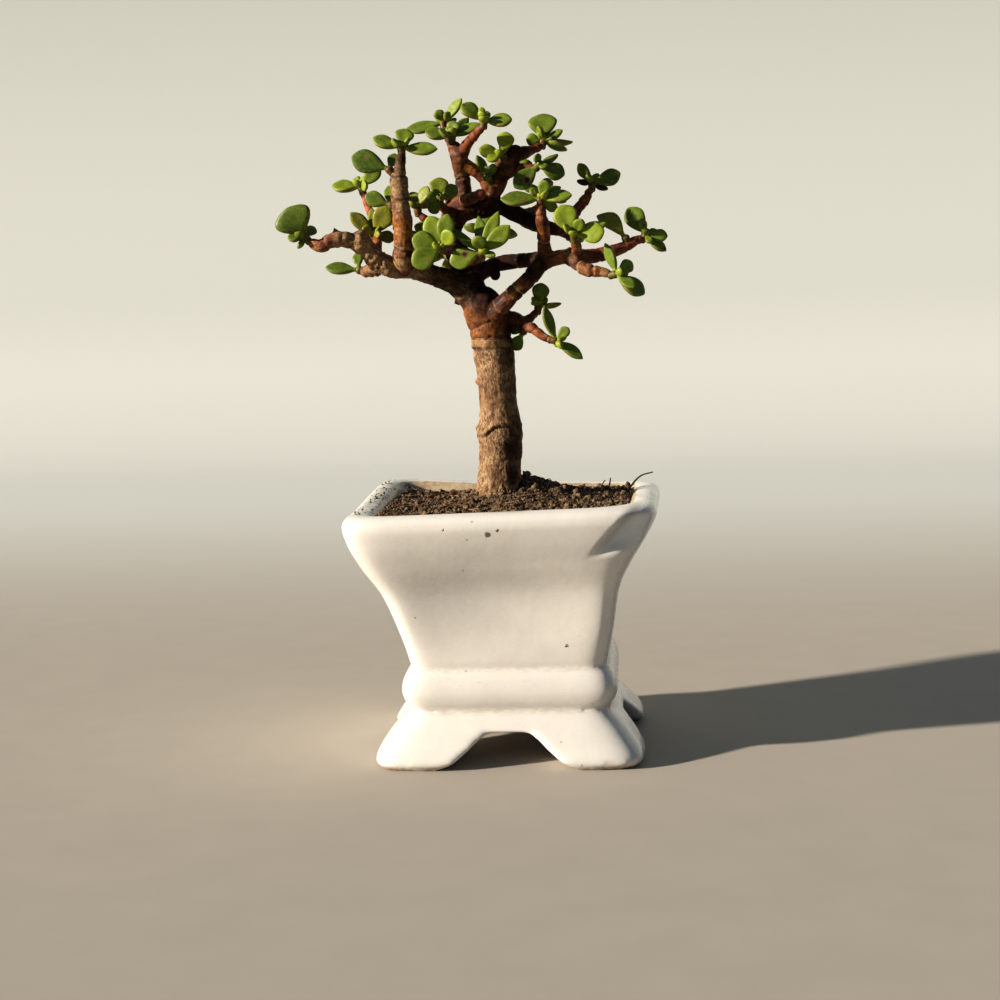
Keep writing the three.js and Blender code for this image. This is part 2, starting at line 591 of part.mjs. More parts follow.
// One fleshy leaf from root to tip, with its edges a little raised. A broad one is narrow at its
// root and round at its tip, a slim one fuller at its root and more pointed. A bow bends it
// sideways, in its own plane.
function leaf(root, tip, width, face, bow) {
  const way = tip.clone().sub(root);
  const length = way.length();
  const forward = way.clone().normalize();
  const normal = new THREE.Vector3(...face).normalize();
  normal.addScaledVector(forward, -normal.dot(forward)).normalize();
  const across = forward.clone().cross(normal);
  const thickness = Math.min(LEAF_LEAST_THICKNESS + LEAF_PLUMPNESS * width, LEAF_MOST_PLUMP * width);
  const slim = THREE.MathUtils.clamp((BROAD_LEAF - width / length) / (BROAD_LEAF - SLIM_LEAF), 0, 1);
  const widest = THREE.MathUtils.lerp(BROAD_WIDEST, SLIM_WIDEST, slim);
  const sides = width < SMALL_LEAF ? SMALL_LEAF_SIDES : LEAF_SIDES;
  const ball = new THREE.SphereGeometry(1, sides, LEAF_RINGS);
  return bendVertices(ball, (p) => {
    const along = (1 + p.y) / 2;
    const round = Math.hypot(p.x, p.z) > 1e-6 ? 1 : 0;
    const angle = Math.atan2(p.z, p.x);
    const swell = Math.sin(Math.PI * along ** widest);
    const halfWidth = (width / 2) * swell ** (LEAF_OUTLINE + SLIM_POINT * slim * along);
    const halfThick = (thickness / 2) * Math.sin(Math.PI * along ** 0.9) ** LEAF_FLESH;
    const lens = Math.sin(Math.PI * along);
    const x = round * halfWidth * Math.cos(angle) + bow * length * lens;
    const rise = LEAF_RIM_RISE * width * Math.cos(angle) ** 2 * round * lens ** 2;
    const z = round * halfThick * Math.sin(angle) + rise - LEAF_DIP * length * lens;
    p.copy(root)
      .addScaledVector(forward, along * length)
      .addScaledVector(across, x)
      .addScaledVector(normal, z);
  });
}

// A shoot's leaves joined on its short stem end.
function shootSolid({ at, axis, leaves, bow = 0 }) {
  const seat = new THREE.Vector3(...at);
  const rise = new THREE.Vector3(...axis).normalize();
  const middle = seat.clone().addScaledVector(rise, SHOOT_STEM_RISE);
  const stem = new THREE.SphereGeometry(SHOOT_STEM_RADIUS, 6, 4).translate(...middle);
  let joined = solid(stem);
  for (const [x, y, z, width, face] of leaves) {
    const tip = seat.clone().add(new THREE.Vector3(x, y, z));
    const root = middle.clone().addScaledVector(tip.clone().sub(middle).normalize(), LEAF_ROOT);
    joined = joined.add(solid(leaf(root, tip, width, face, bow)));
  }
  return joined;
}

// ---------------------------------------------------------------- soil

const soilBody = squareBody([
  [0, FLOOR_HEIGHT + GAP],
  [20 - GAP, FLOOR_HEIGHT + GAP],
  ...innerWall.slice(1).reverse().map(([r, z]) => [r - 2 * GAP, z]),
  [RIM_HALF - WALL - 0.9, SOIL_LEVEL - 2],
  [RIM_HALF - WALL - 0.9, SOIL_LEVEL],
  [28, SOIL_LEVEL],
  [19, SOIL_LEVEL],
  [10, SOIL_LEVEL],
  [0, SOIL_LEVEL],
]);

// The soil's top is heaped up round the foot of the trunk.
function heap(p) {
  if (p.z < SOIL_LEVEL - 0.1) return;
  const x = (p.x - MOUND_AT[0]) / MOUND_SPREAD[0];
  const y = (p.y - MOUND_AT[1]) / MOUND_SPREAD[1];
  p.z += MOUND_HEIGHT * Math.exp(-(x * x + y * y) / 2);
}

// ---------------------------------------------------------------- the part

const group = new THREE.Group();

function addNode(name, made, material) {
  const mesh = new THREE.Mesh(surface(made), material.clone());
  mesh.name = name;
  group.add(mesh);
}

const wood = woodSolid(0);
const woodRoom = woodSolid(GAP);

addNode("pot", potSolid(), glaze);
addNode("soil", mainBody(solid(bendVertices(bendVertices(soilBody, heap), lean)).subtract(woodRoom)), earth);
addNode("wood", wood, bark);
for (const [name, shoot] of Object.entries(SHOOTS)) {
  addNode("shoot_" + name, mainBody(shootSolid(shoot).subtract(woodRoom)), leafGreen);
}
for (const [name, shoot] of Object.entries(PAIRED_SHOOTS)) {
  const leaves = pairedLeaves(shoot);
  addNode("shoot_" + name, mainBody(shootSolid({ ...shoot, leaves }).subtract(woodRoom)), leafGreen);
}

// The origin is under the middle of the whole object, on the surface that it stands on.
const box = new THREE.Box3().setFromObject(group);
const centre = box.getCenter(new THREE.Vector3());
group.position.set(-centre.x, -centre.y, 0);

export default group;
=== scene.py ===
"""The looks of a dwarf jade bonsai in a white footed pot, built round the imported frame.

Places and sizes are in millimetres, measured from the middle of the pot with its feet at zero:
X to the right along the front, Y away from the front, Z up. Meshes are turned into metres, in the
frame's own axes, when they become objects.
"""

import math
from functools import cache

import bmesh
import bpy
import numpy as np
from mathutils import Matrix, Vector, noise


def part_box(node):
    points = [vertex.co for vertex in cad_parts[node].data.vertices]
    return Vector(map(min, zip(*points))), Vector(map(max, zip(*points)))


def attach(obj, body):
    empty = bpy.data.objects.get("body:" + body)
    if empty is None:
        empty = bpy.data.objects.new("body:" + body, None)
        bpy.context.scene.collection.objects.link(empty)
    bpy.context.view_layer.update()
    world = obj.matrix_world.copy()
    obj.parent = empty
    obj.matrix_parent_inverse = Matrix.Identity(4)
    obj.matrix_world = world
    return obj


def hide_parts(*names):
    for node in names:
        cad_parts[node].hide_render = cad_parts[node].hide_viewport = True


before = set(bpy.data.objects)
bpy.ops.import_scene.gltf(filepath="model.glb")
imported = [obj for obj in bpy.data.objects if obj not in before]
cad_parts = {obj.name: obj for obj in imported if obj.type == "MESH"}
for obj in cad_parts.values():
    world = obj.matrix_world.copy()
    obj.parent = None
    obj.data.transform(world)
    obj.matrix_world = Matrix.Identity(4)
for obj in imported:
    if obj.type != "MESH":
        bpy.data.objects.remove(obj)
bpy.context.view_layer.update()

MM = 0.001
low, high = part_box("pot")
SHIFT = np.array([(low.x + high.x) / 2, (low.y + high.y) / 2, 0]) / MM
rng = np.random.default_rng(907)

# ---------------------------------------------------------------- driving values

# camera, key light and sky
CAMERA_AT = (38.13, -534.31, 136.5)
CAMERA_YAW, CAMERA_PITCH, CAMERA_ROLL = (math.radians(a) for a in (4.42, 6.41, -1.59))
SENSOR_WIDTH, IMAGE_WIDTH, FOCAL_PIXELS = 36, 1000, 1719.4
KEY_AZIMUTH, KEY_ELEVATION, KEY_ANGLE = (math.radians(a) for a in (-69.5, 17, 2.5))
KEY_POWER, KEY_COLOUR = 7.8, (1, 0.90, 0.78)
SKY_POWER, SKY_COLOUR = 0.17, (0.46, 0.70, 1.0, 1)
FLOOR_HALF_WIDTH, FLOOR_FRONT, FLOOR_BACK, FLOOR_BEND, BACKDROP_TOP = 3000, -1500, 900, 500, 2500

# pot, as half widths and heights of its square section
RIM_HALF, RIM_HEIGHT, LIP_HEIGHT, LIP_HALF_WIDTH = 47.4, 77.4, 75, 4.4
CREST = RIM_HALF - LIP_HALF_WIDTH
NECK_HALF, NECK_HEIGHT = 30, 28.5
RING_HALF, RING_HEIGHT = 32.9, 22.3
GROOVE_HALF, GROOVE_HEIGHT = 30.4, 16
FOOT_HALF, WALL, FLOOR_HEIGHT = 40.9, 9.2, 18
ARCH_HEIGHT, ARCH_HALF_BOTTOM, ARCH_HALF_TOP = 10, 21, 6
DRAIN_RADIUS, SQUARENESS, POT_VOXEL, PANEL_BOW = 4, 11, 0.8, 2.0
# The rim rises to the right, level with the drawing at one x, and its far edge is twisted.
RIM_LEAN, RIM_LEVEL_AT, LEFT_UP, RIGHT_DOWN = 0.022, -17, 2.6, 1.5
DENT_AT, DENT_DEPTH, DENT_SPREAD, DENT_DRAWN_OUT = (43.5, -43.5, 59), 5.5, 17.4, 2.6
# By the knock the front is pressed back, right of a crease and above a fold: (x, z) at the ends of each.
CREASE, FOLD, PRESSED_BACK = ((41.2, 79.5), (29.6, 66.5)), ((25, 64.2), (38, 65.6)), 2.7
# Chips on the front face: x, z and size.
CHIPS = [(-3.3, 71.6, 0.9), (-0.5, 72.8, 0.5), (18.1, 35.8, 0.6), (-16, 73, 0.4)]

# soil
SOIL_LEVEL, SOIL_HALF, SOIL_SIDES, SOIL_RINGS = 75.6, 37.5, 240, 96
TRUNK_FOOT = TRUNK_X, TRUNK_Y = -3.5, 2
CLEAR_OF_TRUNK, LIP_CRUMBS, FIBRES = 6.5, 45, 150
# What lies loose on it: how many, smallest, largest, how rough, and whether each is a ball of many points.
LOOSE = {
    "soil_crumbs": (700, 0.4, 1.5, 0.7, True),
    "soil_grains": (5200, 0.2, 0.6, 0.6, False),
    "soil_grit": (230, 0.22, 0.7, 0.3, True),
}

# wood: its net, the steps along a limb and between old leaf scars, and how far apart limbs lie in the
# bark's pattern
WOOD_VOXEL, LIMB_STEP, SCAR_STEP, LIMBS_APART = 0.415, 0.6, 3.9, 31.7
# trunk: where its bark turns red, as a length and a run, and the heights of its smooth part and collar
RED_FROM, RED_OVER, SMOOTH_AT, COLLAR = 62.5, 4, 108.5, (123.6, 127.2)

# leaves: points along and round each, the stem's rise, and what shapes them
ALONG, ROUND = 22, 20
STEM_RISE, LEAF_ROOT, LEAF_DIP, ARCH_LEAF_BOW = 1.4, 0.8, 0.05, 0.14
BROAD_LEAF, SLIM_LEAF = 0.75, 0.4

# ---------------------------------------------------------------- meshes

def place(points):
    """Drawing millimetres to the frame's metres."""
    return (np.asarray(points, float) + SHIFT) * MM


def linked(name, data):
    """A new object in the scene."""
    made = bpy.data.objects.new(name, data)
    bpy.context.scene.collection.objects.link(made)
    return made


def values(collection, name, width, kind):
    """A mesh collection's property as rows of an array."""
    out = np.zeros(len(collection) * width, kind)
    collection.foreach_get(name, out)
    return out.reshape(-1, width)


def new_mesh(name, points, polygons):
    """A mesh of points and of arrays of polygons."""
    mesh = bpy.data.meshes.new(name)
    mesh.from_pydata(points.tolist(), [], [face for part in polygons for face in part.tolist()])
    mesh.validate()
    return mesh


def reshape(mesh, points):
    """Moves a mesh's points to the given drawing millimetres."""
    mesh.vertices.foreach_set("co", place(points).astype(np.float32).ravel())


def dressed(name, mesh, look, numbers=None):
    """A smooth shaded object, with named numbers on its points for its look."""
    mesh.materials.append(look)
    for key, column in (numbers or {}).items():
        kind, field = ("FLOAT_VECTOR", "vector") if np.ndim(column) == 2 else ("FLOAT", "value")
        layer = mesh.attributes.new(key, kind, "POINT")
        layer.data.foreach_set(field, np.asarray(column, np.float32).ravel())
    mesh.polygons.foreach_set("use_smooth", np.ones(len(mesh.polygons), bool))
    return linked(name, mesh)


def new_object(name, points, polygons, look, numbers=None):
    """A dressed object from points in drawing millimetres."""
    return dressed(name, new_mesh(name, place(points), polygons), look, numbers)


def piece(made, slot, *nodes):
    """Puts a finished object on the frame, in place of the CAD nodes that it stands for."""
    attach(made, "root")
    if nodes:
        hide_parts(*nodes)


def joined(parts):
    """Several (points, polygons) as one."""
    points, polygons, start = [], [], 0
    for p, faces in parts:
        points.append(p)
        polygons += [f + start for f in faces]
        start += len(p)
    return np.concatenate(points), polygons


def closed_rings(rings):
    """A closed skin over rings of points, with a fan over each end."""
    rings = np.asarray(rings, float)
    count, sides = rings.shape[:2]
    points = np.concatenate([rings.reshape(-1, 3), rings[:1].mean(1), rings[-1:].mean(1)])
    side = np.arange(sides)
    after = (side + 1) % sides
    start = np.arange(count - 1)[:, None] * sides
    quads = np.stack([start + side, start + after, start + sides + after, start + sides + side], -1)
    foot, last = np.full(sides, count * sides), (count - 1) * sides
    fans = [np.stack([after, side, foot], -1), np.stack([last + side, last + after, foot + 1], -1)]
    return points, [quads.reshape(-1, 4), *fans]


def remeshed(skin, voxel, cutters=()):
    """A skin less some others as a mesh of even quads, with its points and edges."""
    made, *cutters = [linked("scratch", new_mesh("scratch", *s)) for s in (skin, *cutters)]
    for cutter in cutters:
        cut = made.modifiers.new("cut", "BOOLEAN")
        cut.operation, cut.solver, cut.object = "DIFFERENCE", "EXACT", cutter
    net = made.modifiers.new("net", "REMESH")
    net.mode, net.voxel_size = "VOXEL", voxel
    graph = bpy.context.evaluated_depsgraph_get()
    graph.update()
    mesh = bpy.data.meshes.new_from_object(made.evaluated_get(graph))
    for o in (made, *cutters):
        bpy.data.objects.remove(o)
    return mesh, values(mesh.vertices, "co", 3, float), values(mesh.edges, "vertices", 2, np.int32)


def relax(points, edges, steps, share, back=0.0):
    """Evens out a skin. With a negative share to go back by, it keeps its thickness."""
    (a, b), count = edges.T, len(points)
    near = np.bincount(edges.ravel(), minlength=count)[:, None]
    for part in steps * ([share, back] if back else [share]):
        total = np.stack([np.bincount(a, points[b, k], count) + np.bincount(b, points[a, k], count)
                          for k in range(3)], 1)
        points = points + part * (total / near - points)
    return points


def bell(x):
    """1 at zero, and less to both sides."""
    return np.exp(-(x**2))


def limited(x):
    """Kept between 0 and 1."""
    return np.clip(x, 0, 1)


def eased(value, low, high):
    """A smooth step from 0 to 1."""
    t = limited((value - low) / (high - low))
    return t * t * (3 - 2 * t)


def unit(v):
    """A vector made one long."""
    v = np.array(v, float)
    return v / np.linalg.norm(v)


def noise_at(points, scale, octaves=1, seed=0.0):
    """Smooth noise from -1 to 1 at each point."""
    away = Vector((seed, seed * 1.7, -seed))
    if octaves == 1:
        return np.array([noise.noise(Vector(p) + away) for p in points * scale])
    return np.array([noise.fractal(Vector(p) + away, 0.9, 2.1, octaves, noise_basis="PERLIN_ORIGINAL")
                     for p in points * scale])


def smooth_path(points, count):
    """Points and control places along a centripetal curve through the given points."""
    p = np.asarray(points, float)
    p = np.concatenate([2 * p[:1] - p[1:2], p, 2 * p[-1:] - p[-2:-1]])
    places = np.linspace(0, len(p) - 3, count)
    out = np.empty((count, p.shape[1]))
    for n, where in enumerate(places):
        i = min(int(where), len(p) - 4)
        t = where - i
        a, b, c, d = p[i:i + 4]
        gaps = [max(np.linalg.norm(v[:3]) ** 0.5, 1e-3) for v in (b - a, c - b, d - c)]
        start = ((b - a) / gaps[0] - (c - a) / (gaps[0] + gaps[1]) + (c - b) / gaps[1]) * gaps[1]
        end = ((c - b) / gaps[1] - (d - b) / (gaps[1] + gaps[2]) + (d - c) / gaps[2]) * gaps[1]
        out[n] = b + start * t + (3 * (c - b) - 2 * start - end) * t**2 + (2 * (b - c) + start + end) * t**3
    return out, places


def tube(path, radii, sides):
    """A closed round tube, with the sideways and upward ways of each of its rings."""
    ways = np.gradient(path, axis=0)
    ways /= np.linalg.norm(ways, axis=1)[:, None]
    side = np.cross(ways[0], (0.31, 0.87, 0.38))
    angles = np.linspace(0, 2 * math.pi, sides, endpoint=False)[:, None]
    rings, sides_at, ups_at = [], [], []
    for way, centre, radius in zip(ways, path, radii):
        side = unit(side - way * side.dot(way))
        up = np.cross(way, side)
        sides_at.append(side)
        ups_at.append(up)
        rings.append(centre + radius * (np.cos(angles) * side + np.sin(angles) * up))
    return closed_rings(rings), np.array(sides_at), np.array(ups_at)


def table(text):
    """Lists of rows by name, from "name: row, row; name: row" with numbers and words in each row."""
    entries = (entry.split(":") for entry in text.split(";"))
    return {name.strip(): [[word if word.isalpha() else float(word) for word in row.split()]
                           for row in rows.split(",")] for name, rows in entries}

# ---------------------------------------------------------------- pot

def square_rings(outline, sides=160):
    """Rings with a rounded square section, from an outline of half widths and heights."""
    evenly = np.linspace(0, 2 * math.pi, sides, endpoint=False)
    angle = evenly + 0.15 * np.sin(4 * evenly)
    c, s = np.cos(angle), np.sin(angle)
    k = (np.abs(c) ** SQUARENESS + np.abs(s) ** SQUARENESS) ** (-1 / SQUARENESS)
    return np.array([np.stack([r * k * s, -r * k * c, np.full(sides, float(z))], 1) for r, z in outline])


def square_reach(points):
    """Half the width of the rounded square that each point lies on."""
    return (np.abs(points[:, :2]) ** SQUARENESS).sum(1) ** (1 / SQUARENESS)


FOOT_LINE, _ = smooth_path(
    [(FOOT_HALF - 0.6, 1), (FOOT_HALF, 2.6), (FOOT_HALF - 5, 9.5), (GROOVE_HALF + 1.2, GROOVE_HEIGHT - 2),
     (GROOVE_HALF, GROOVE_HEIGHT)], 40)
RING_LINE, _ = smooth_path(
    [(GROOVE_HALF, GROOVE_HEIGHT + 0.4), (RING_HALF - 0.6, RING_HEIGHT - 3), (RING_HALF, RING_HEIGHT),
     (RING_HALF - 0.8, RING_HEIGHT + 3.4), (NECK_HALF + 0.2, NECK_HEIGHT)], 40)
OUTER_LINE, _ = smooth_path(
    [(NECK_HALF, NECK_HEIGHT + 0.3), (32.2, 37), (37.5, 52), (42.7, 61), (46.1, 68.3),
     (RIM_HALF, LIP_HEIGHT - 1), (RIM_HALF - 0.7, RIM_HEIGHT - 1.3), (RIM_HALF - 2.6, RIM_HEIGHT - 0.2)], 100)
INNER_LINE, _ = smooth_path(
    [(21.5, 20), (NECK_HALF - WALL + 3, 33), (37.2 - WALL, 52), (45.6 - WALL, 66),
     (RIM_HALF - WALL, LIP_HEIGHT - 1), (RIM_HALF - 7.4, RIM_HEIGHT - 0.7), (CREST, RIM_HEIGHT)], 70)
ARCH_LINE = np.array(
    [(ARCH_HALF_BOTTOM, 0), (15.5, 1), (10.5, ARCH_HEIGHT - 2.5), (ARCH_HALF_TOP, ARCH_HEIGHT)])


def archway(turn):
    """The space between two feet, running through under the pot."""
    t = np.linspace(0, 1, 16)[:, None]
    a, b, c, d = ARCH_LINE
    side = (1 - t) ** 3 * a + 3 * t * (1 - t) ** 2 * b + 3 * t**2 * (1 - t) * c + t**3 * d
    half = np.concatenate([[(ARCH_HALF_BOTTOM + 2, -3)], side])
    loop = np.concatenate([half, half[::-1] * (-1, 1)])
    rings = []
    for y in (3 * FOOT_HALF, -3 * FOOT_HALF):
        x, y, z = loop[:, 0], np.full(len(loop), y), loop[:, 1]
        rings.append(np.stack([-y, x, z] if turn else [x, y, z], 1))
    return closed_rings(rings)


def lean(points):
    """Heights with the rim a little higher on the right."""
    x, _, z = points.T
    return z + RIM_LEAN * (x - RIM_LEVEL_AT) * (z / RIM_HEIGHT) ** 2


def inner_half(z):
    """Half the width of the pot's hollow at each height."""
    return np.interp(z, INNER_LINE[:, 1], INNER_LINE[:, 0])


def line_distance(points, start, end):
    """Distance in the front plane to the left of a line."""
    way = unit(np.subtract(end, start))
    return (points[:, [0, 2]] - start) @ np.array([-way[1], way[0]])


def pot_net():
    """The pot in even quads: its shell less the hollow, the arches and the drain hole."""
    shell = [(FOOT_HALF - 1.6, 0), *FOOT_LINE, *RING_LINE, *OUTER_LINE, (CREST, RIM_HEIGHT)]
    hollow = [(20, FLOOR_HEIGHT), *INNER_LINE, (CREST, RIM_HEIGHT + 3)]
    shell, hollow = (closed_rings(square_rings(line)) for line in (shell, hollow))
    angles = np.linspace(0, 2 * math.pi, 24, endpoint=False)
    drain = [np.stack([DRAIN_RADIUS * np.cos(angles), DRAIN_RADIUS * np.sin(angles), np.full(24, z)], 1)
             for z in (5.0, 25.0)]
    return remeshed(shell, POT_VOXEL, (hollow, archway(False), archway(True), closed_rings(drain)))


def model_pot():
    mesh, points, edges = pot_net()

    # the arches' edges and the feet are thick with glaze, so they are well rounded
    near = limited((GROOVE_HEIGHT - 1.5 - points[:, 2]) / 3)[:, None]
    points = relax(points, edges, 6, 0.5, -0.53) * (1 - near) + relax(points, edges, 16, 0.5) * near
    x, y, z = points.T
    z[z < 0.35] = 0

    # above the feet, the walls lie exactly on their outlines
    reach = square_reach(points)
    for line in (np.concatenate([RING_LINE, OUTER_LINE[:-20]]), INNER_LINE[:-18]):
        exact = np.interp(z, line[:, 1], line[:, 0])
        close = (z > line[0, 1] + 1) & (z < line[-1, 1] - 0.2) & (np.abs(exact - reach) < 0.9)
        points[close, :2] *= (exact / reach)[close, None]

    # thrown and pressed by hand: slow unevenness in its walls
    sway = np.stack([noise_at(points, 0.028, 1, seed) for seed in (3.1, 8.4)], 1) * 0.45
    points[:, :2] += sway * limited(z / 30)[:, None]

    # the inner corner of the lip by the knock is pressed in and flattened
    away = np.linalg.norm(points - (37, -38, 76), axis=1)
    pressed = 3.2 * bell(away / 8) * (limited((CREST + 1.5 - reach) / 3) * (z > 60))
    points[:, :2] += pressed[:, None] * (-0.5, 0.85)

    # the four outer faces are bowed in a little
    outer = limited((reach - inner_half(z) - 5) / 3)
    level = np.sin(math.pi * limited((z - 31) / 42)) * outer * PANEL_BOW
    for a, b in ((x, y), (y, x)):
        middle = limited(1 - (a / (0.86 * reach)) ** 2)
        b -= np.sign(b) * level * middle * (np.abs(b) > np.abs(a))

    # the knocked corner, and the fold that it left under the rim
    away = np.linalg.norm((points - DENT_AT) / (1, DENT_DRAWN_OUT, 1), axis=1)
    push = DENT_DEPTH * bell(away / DENT_SPREAD) * math.sqrt(0.5)
    x -= 1.15 * push
    y += 0.4 * push
    past_crease, over_fold = line_distance(points, *CREASE), line_distance(points, *FOLD)
    front = limited((-28 - y) / 10)
    crease = eased(past_crease, -2.2, 1.8) * eased(over_fold, -2.2, 3.6) * front
    crease *= 1 - 0.85 * eased(z, 71.5, 77)
    y += PRESSED_BACK * crease
    height = z.copy()
    z[:] = lean(points)
    # the rim's far edge is twisted: up at its left end, down at its right
    twist = LEFT_UP * eased(-x, 0, 42) - RIGHT_DOWN * eased(x, 0, 42)
    z += twist * eased(y, -25, 40) * (height / RIM_HEIGHT) ** 4

    chips = sum(np.exp(-(((x - at_x) ** 2 + (z - at_z) ** 2) / size**2)) for at_x, at_z, size in CHIPS)
    reshape(mesh, points)
    piece(dressed("pot_body", mesh, glaze_look(), {
        "inside": limited((inner_half(z) + 2.6 - square_reach(points)) / 2) * (z > 40)
        * eased(height, 77.6, 76.3),
        "worn": limited((-33 - x) / 4) * limited((z - 72) / 3) * limited((46.4 + x) / 2)
        * limited((y + 42) / 6),
        "chip": chips * (y < -30),
        # masks for painted shade: along the crease, and over the pressed face beside it
        "groove": bell(past_crease / 1.5) * eased(over_fold, -1, 3) * front,
        "pressed": crease,
    }), "glaze", "pot")

# ---------------------------------------------------------------- soil

def soil_height(x, y):
    """The lie of the soil: level by the walls, heaped behind and right of the trunk."""
    heap = 6.6 * np.exp(-((((x - 4) / 11) ** 2 + ((y - 7) / 9) ** 2) / 2))
    collar = 1.6 * np.exp(-(((x - TRUNK_X) ** 2 + (y - TRUNK_Y) ** 2) / 130))
    right = 0.6 * np.exp(-((((x - 24) / 10) ** 2 + ((y - 12) / 14) ** 2) / 2))
    left = 1.5 * limited((-x - 22) / 14)
    return SOIL_LEVEL - 0.6 + heap + collar + right + left


def lump(x, y):
    """The soil's slow unevenness."""
    return 0.8 * noise.noise(Vector((x * 0.3, y * 0.3, 4.0)))


@cache
def ball(fine):
    """A ball of 42 points, or of 12."""
    made = bmesh.new()
    bmesh.ops.create_icosphere(made, subdivisions=2 if fine else 1, radius=1)
    points = np.array([v.co for v in made.verts])
    faces = np.array([[v.index for v in f.verts] for f in made.faces])
    made.free()
    return points, faces


def scatter(count, smallest, largest, rough, fine):
    """Crumbs that lie on the soil, each with a shape of its own."""
    round_, faces = ball(fine)
    parts, tones = [], []
    while len(parts) < count:
        x, y = rng.uniform(-SOIL_HALF + 0.4, SOIL_HALF - 0.4, 2)
        if math.dist((x, y), TRUNK_FOOT) < CLEAR_OF_TRUNK:
            continue
        size = smallest * (largest / smallest) ** (rng.random() ** 2.5)
        lumps = 1 + rough * noise_at(round_, 1.3, 1, rng.uniform(0, 90))
        flat = round_ * lumps[:, None] * rng.uniform(0.6, 1.0, 3) * size
        turn = Matrix.Rotation(rng.uniform(0, 6.28), 3, Vector(rng.normal(size=3)).normalized())
        parts.append((flat @ np.array(turn) + (x, y, soil_height(x, y) + lump(x, y) + 0.2 * size), [faces]))
        tones.append(np.full(len(round_), rng.random()))
    return *joined(parts), np.concatenate(tones)


def lip_crumbs():
    """Crumbs that lie on the left side of the lip."""
    round_, faces = ball(False)
    parts = []
    for _ in range(LIP_CRUMBS):
        x, y = rng.uniform(-44.8, -39.5), rng.uniform(-34, 40)
        top = np.interp(-x, (38.2, 40, 43, 44.8), (74.6, 76.8, 77.5, 77.3))
        rise = LEFT_UP * float(eased(-x, 0, 42)) * float(eased(y, -25, 40))
        shape = round_ * (1 + 0.5 * noise_at(round_, 1.3, 1, rng.uniform(0, 90)))[:, None]
        size = rng.uniform(0.15, 0.42)
        parts.append((shape * size * rng.uniform(0.6, 1.2, 3) + (x, y, top + rise), [faces]))
    points, polygons = joined(parts)
    return points, polygons, np.zeros(len(points))


def model_soil():
    square = square_rings([(1, 0)], SOIL_SIDES)[0][:, :2]
    below = [(20, FLOOR_HEIGHT + 0.5), *(INNER_LINE[2:-22:6] - (0.6, 0))]
    rings = [np.column_stack([square * half, np.full(SOIL_SIDES, z)]) for half, z in below]
    for share in (np.linspace(0.012, 1, SOIL_RINGS) ** 0.8)[::-1]:
        flat = square * share * SOIL_HALF
        rings.append(np.column_stack([flat, soil_height(*flat.T)]))
    points, polygons = closed_rings(rings)
    loose = points[:, 2] > SOIL_LEVEL - 2.5
    top = points[loose]
    points[loose, 2] += (np.array([lump(x, y) for x, y, _ in top]) + 0.55 * noise_at(top, 0.9, 1, 2.0)
                         + 0.35 * noise_at(top, 2.2, 1, 5.0))
    points[:, 2] = lean(points)
    piece(new_object("soil_bed", points, polygons, soil_look()), "soil", "soil")
    for name in ("lip_crumbs", *LOOSE):
        points, polygons, tones = scatter(*LOOSE[name]) if name in LOOSE else lip_crumbs()
        points[:, 2] = lean(points)
        look = grit_look() if name == "soil_grit" else soil_look()
        piece(new_object(name, points, polygons, look, {"tone": tones}), "soil")


# Straws and dead twiglets on the soil, and a dry stalk that leans out over the rim: a radius and places.
STRAWS = [
    (0.28, (3, -9, 78.2), (8, -8.2, 78.8), (13.5, -6.5, 78.4)),
    (0.34, (30, 20, 76), (31, 20, 78.6), (31.3, 20, 80.6)),
    (0.3, (27.5, 21, 76), (28.5, 21, 78.4), (29.6, 21, 79.8)),
    (0.3, (-20, -22, 76.6), (-16, -20, 77.4), (-11, -21, 77)),
    (0.22, (15, -25, 77.2), (19, -20, 77.9), (21, -14, 78)),
    (0.25, (-27, 8, 76.8), (-22, 12, 77.7), (-15, 13, 78.2)),
    (0.36, (36.5, 18, 75.5), (38, 17.5, 78.2), (41, 17, 81.3), (45, 16, 82.6)),
]


def model_litter():
    straws = list(STRAWS)
    for _ in range(FIBRES):
        x, y = rng.uniform(-SOIL_HALF + 2, SOIL_HALF - 2, 2)
        if math.dist((x, y), TRUNK_FOOT) > CLEAR_OF_TRUNK + 1.5:
            middle = np.array((x, y, soil_height(x, y) + 0.9))
            way = rng.normal(size=3) * (1.2, 1.2, 0.2)
            bend = rng.normal(size=3) * 0.25
            straws.append((rng.uniform(0.09, 0.17), middle - way, middle + bend, middle + way))
    parts, tones = [], []
    for radius, *run in straws:
        count, sides = (26, 8) if radius > 0.2 else (8, 5)
        path, _ = smooth_path(run, count)
        skin, _, _ = tube(path, radius * np.linspace(1, 0.55, count), sides)
        parts.append(skin)
        tones.append(np.full(len(skin[0]), rng.random()))
    tones = {"tone": np.concatenate(tones)}
    piece(new_object("soil_litter", *joined(parts), straw_look(), tones), "soil")

# ---------------------------------------------------------------- wood

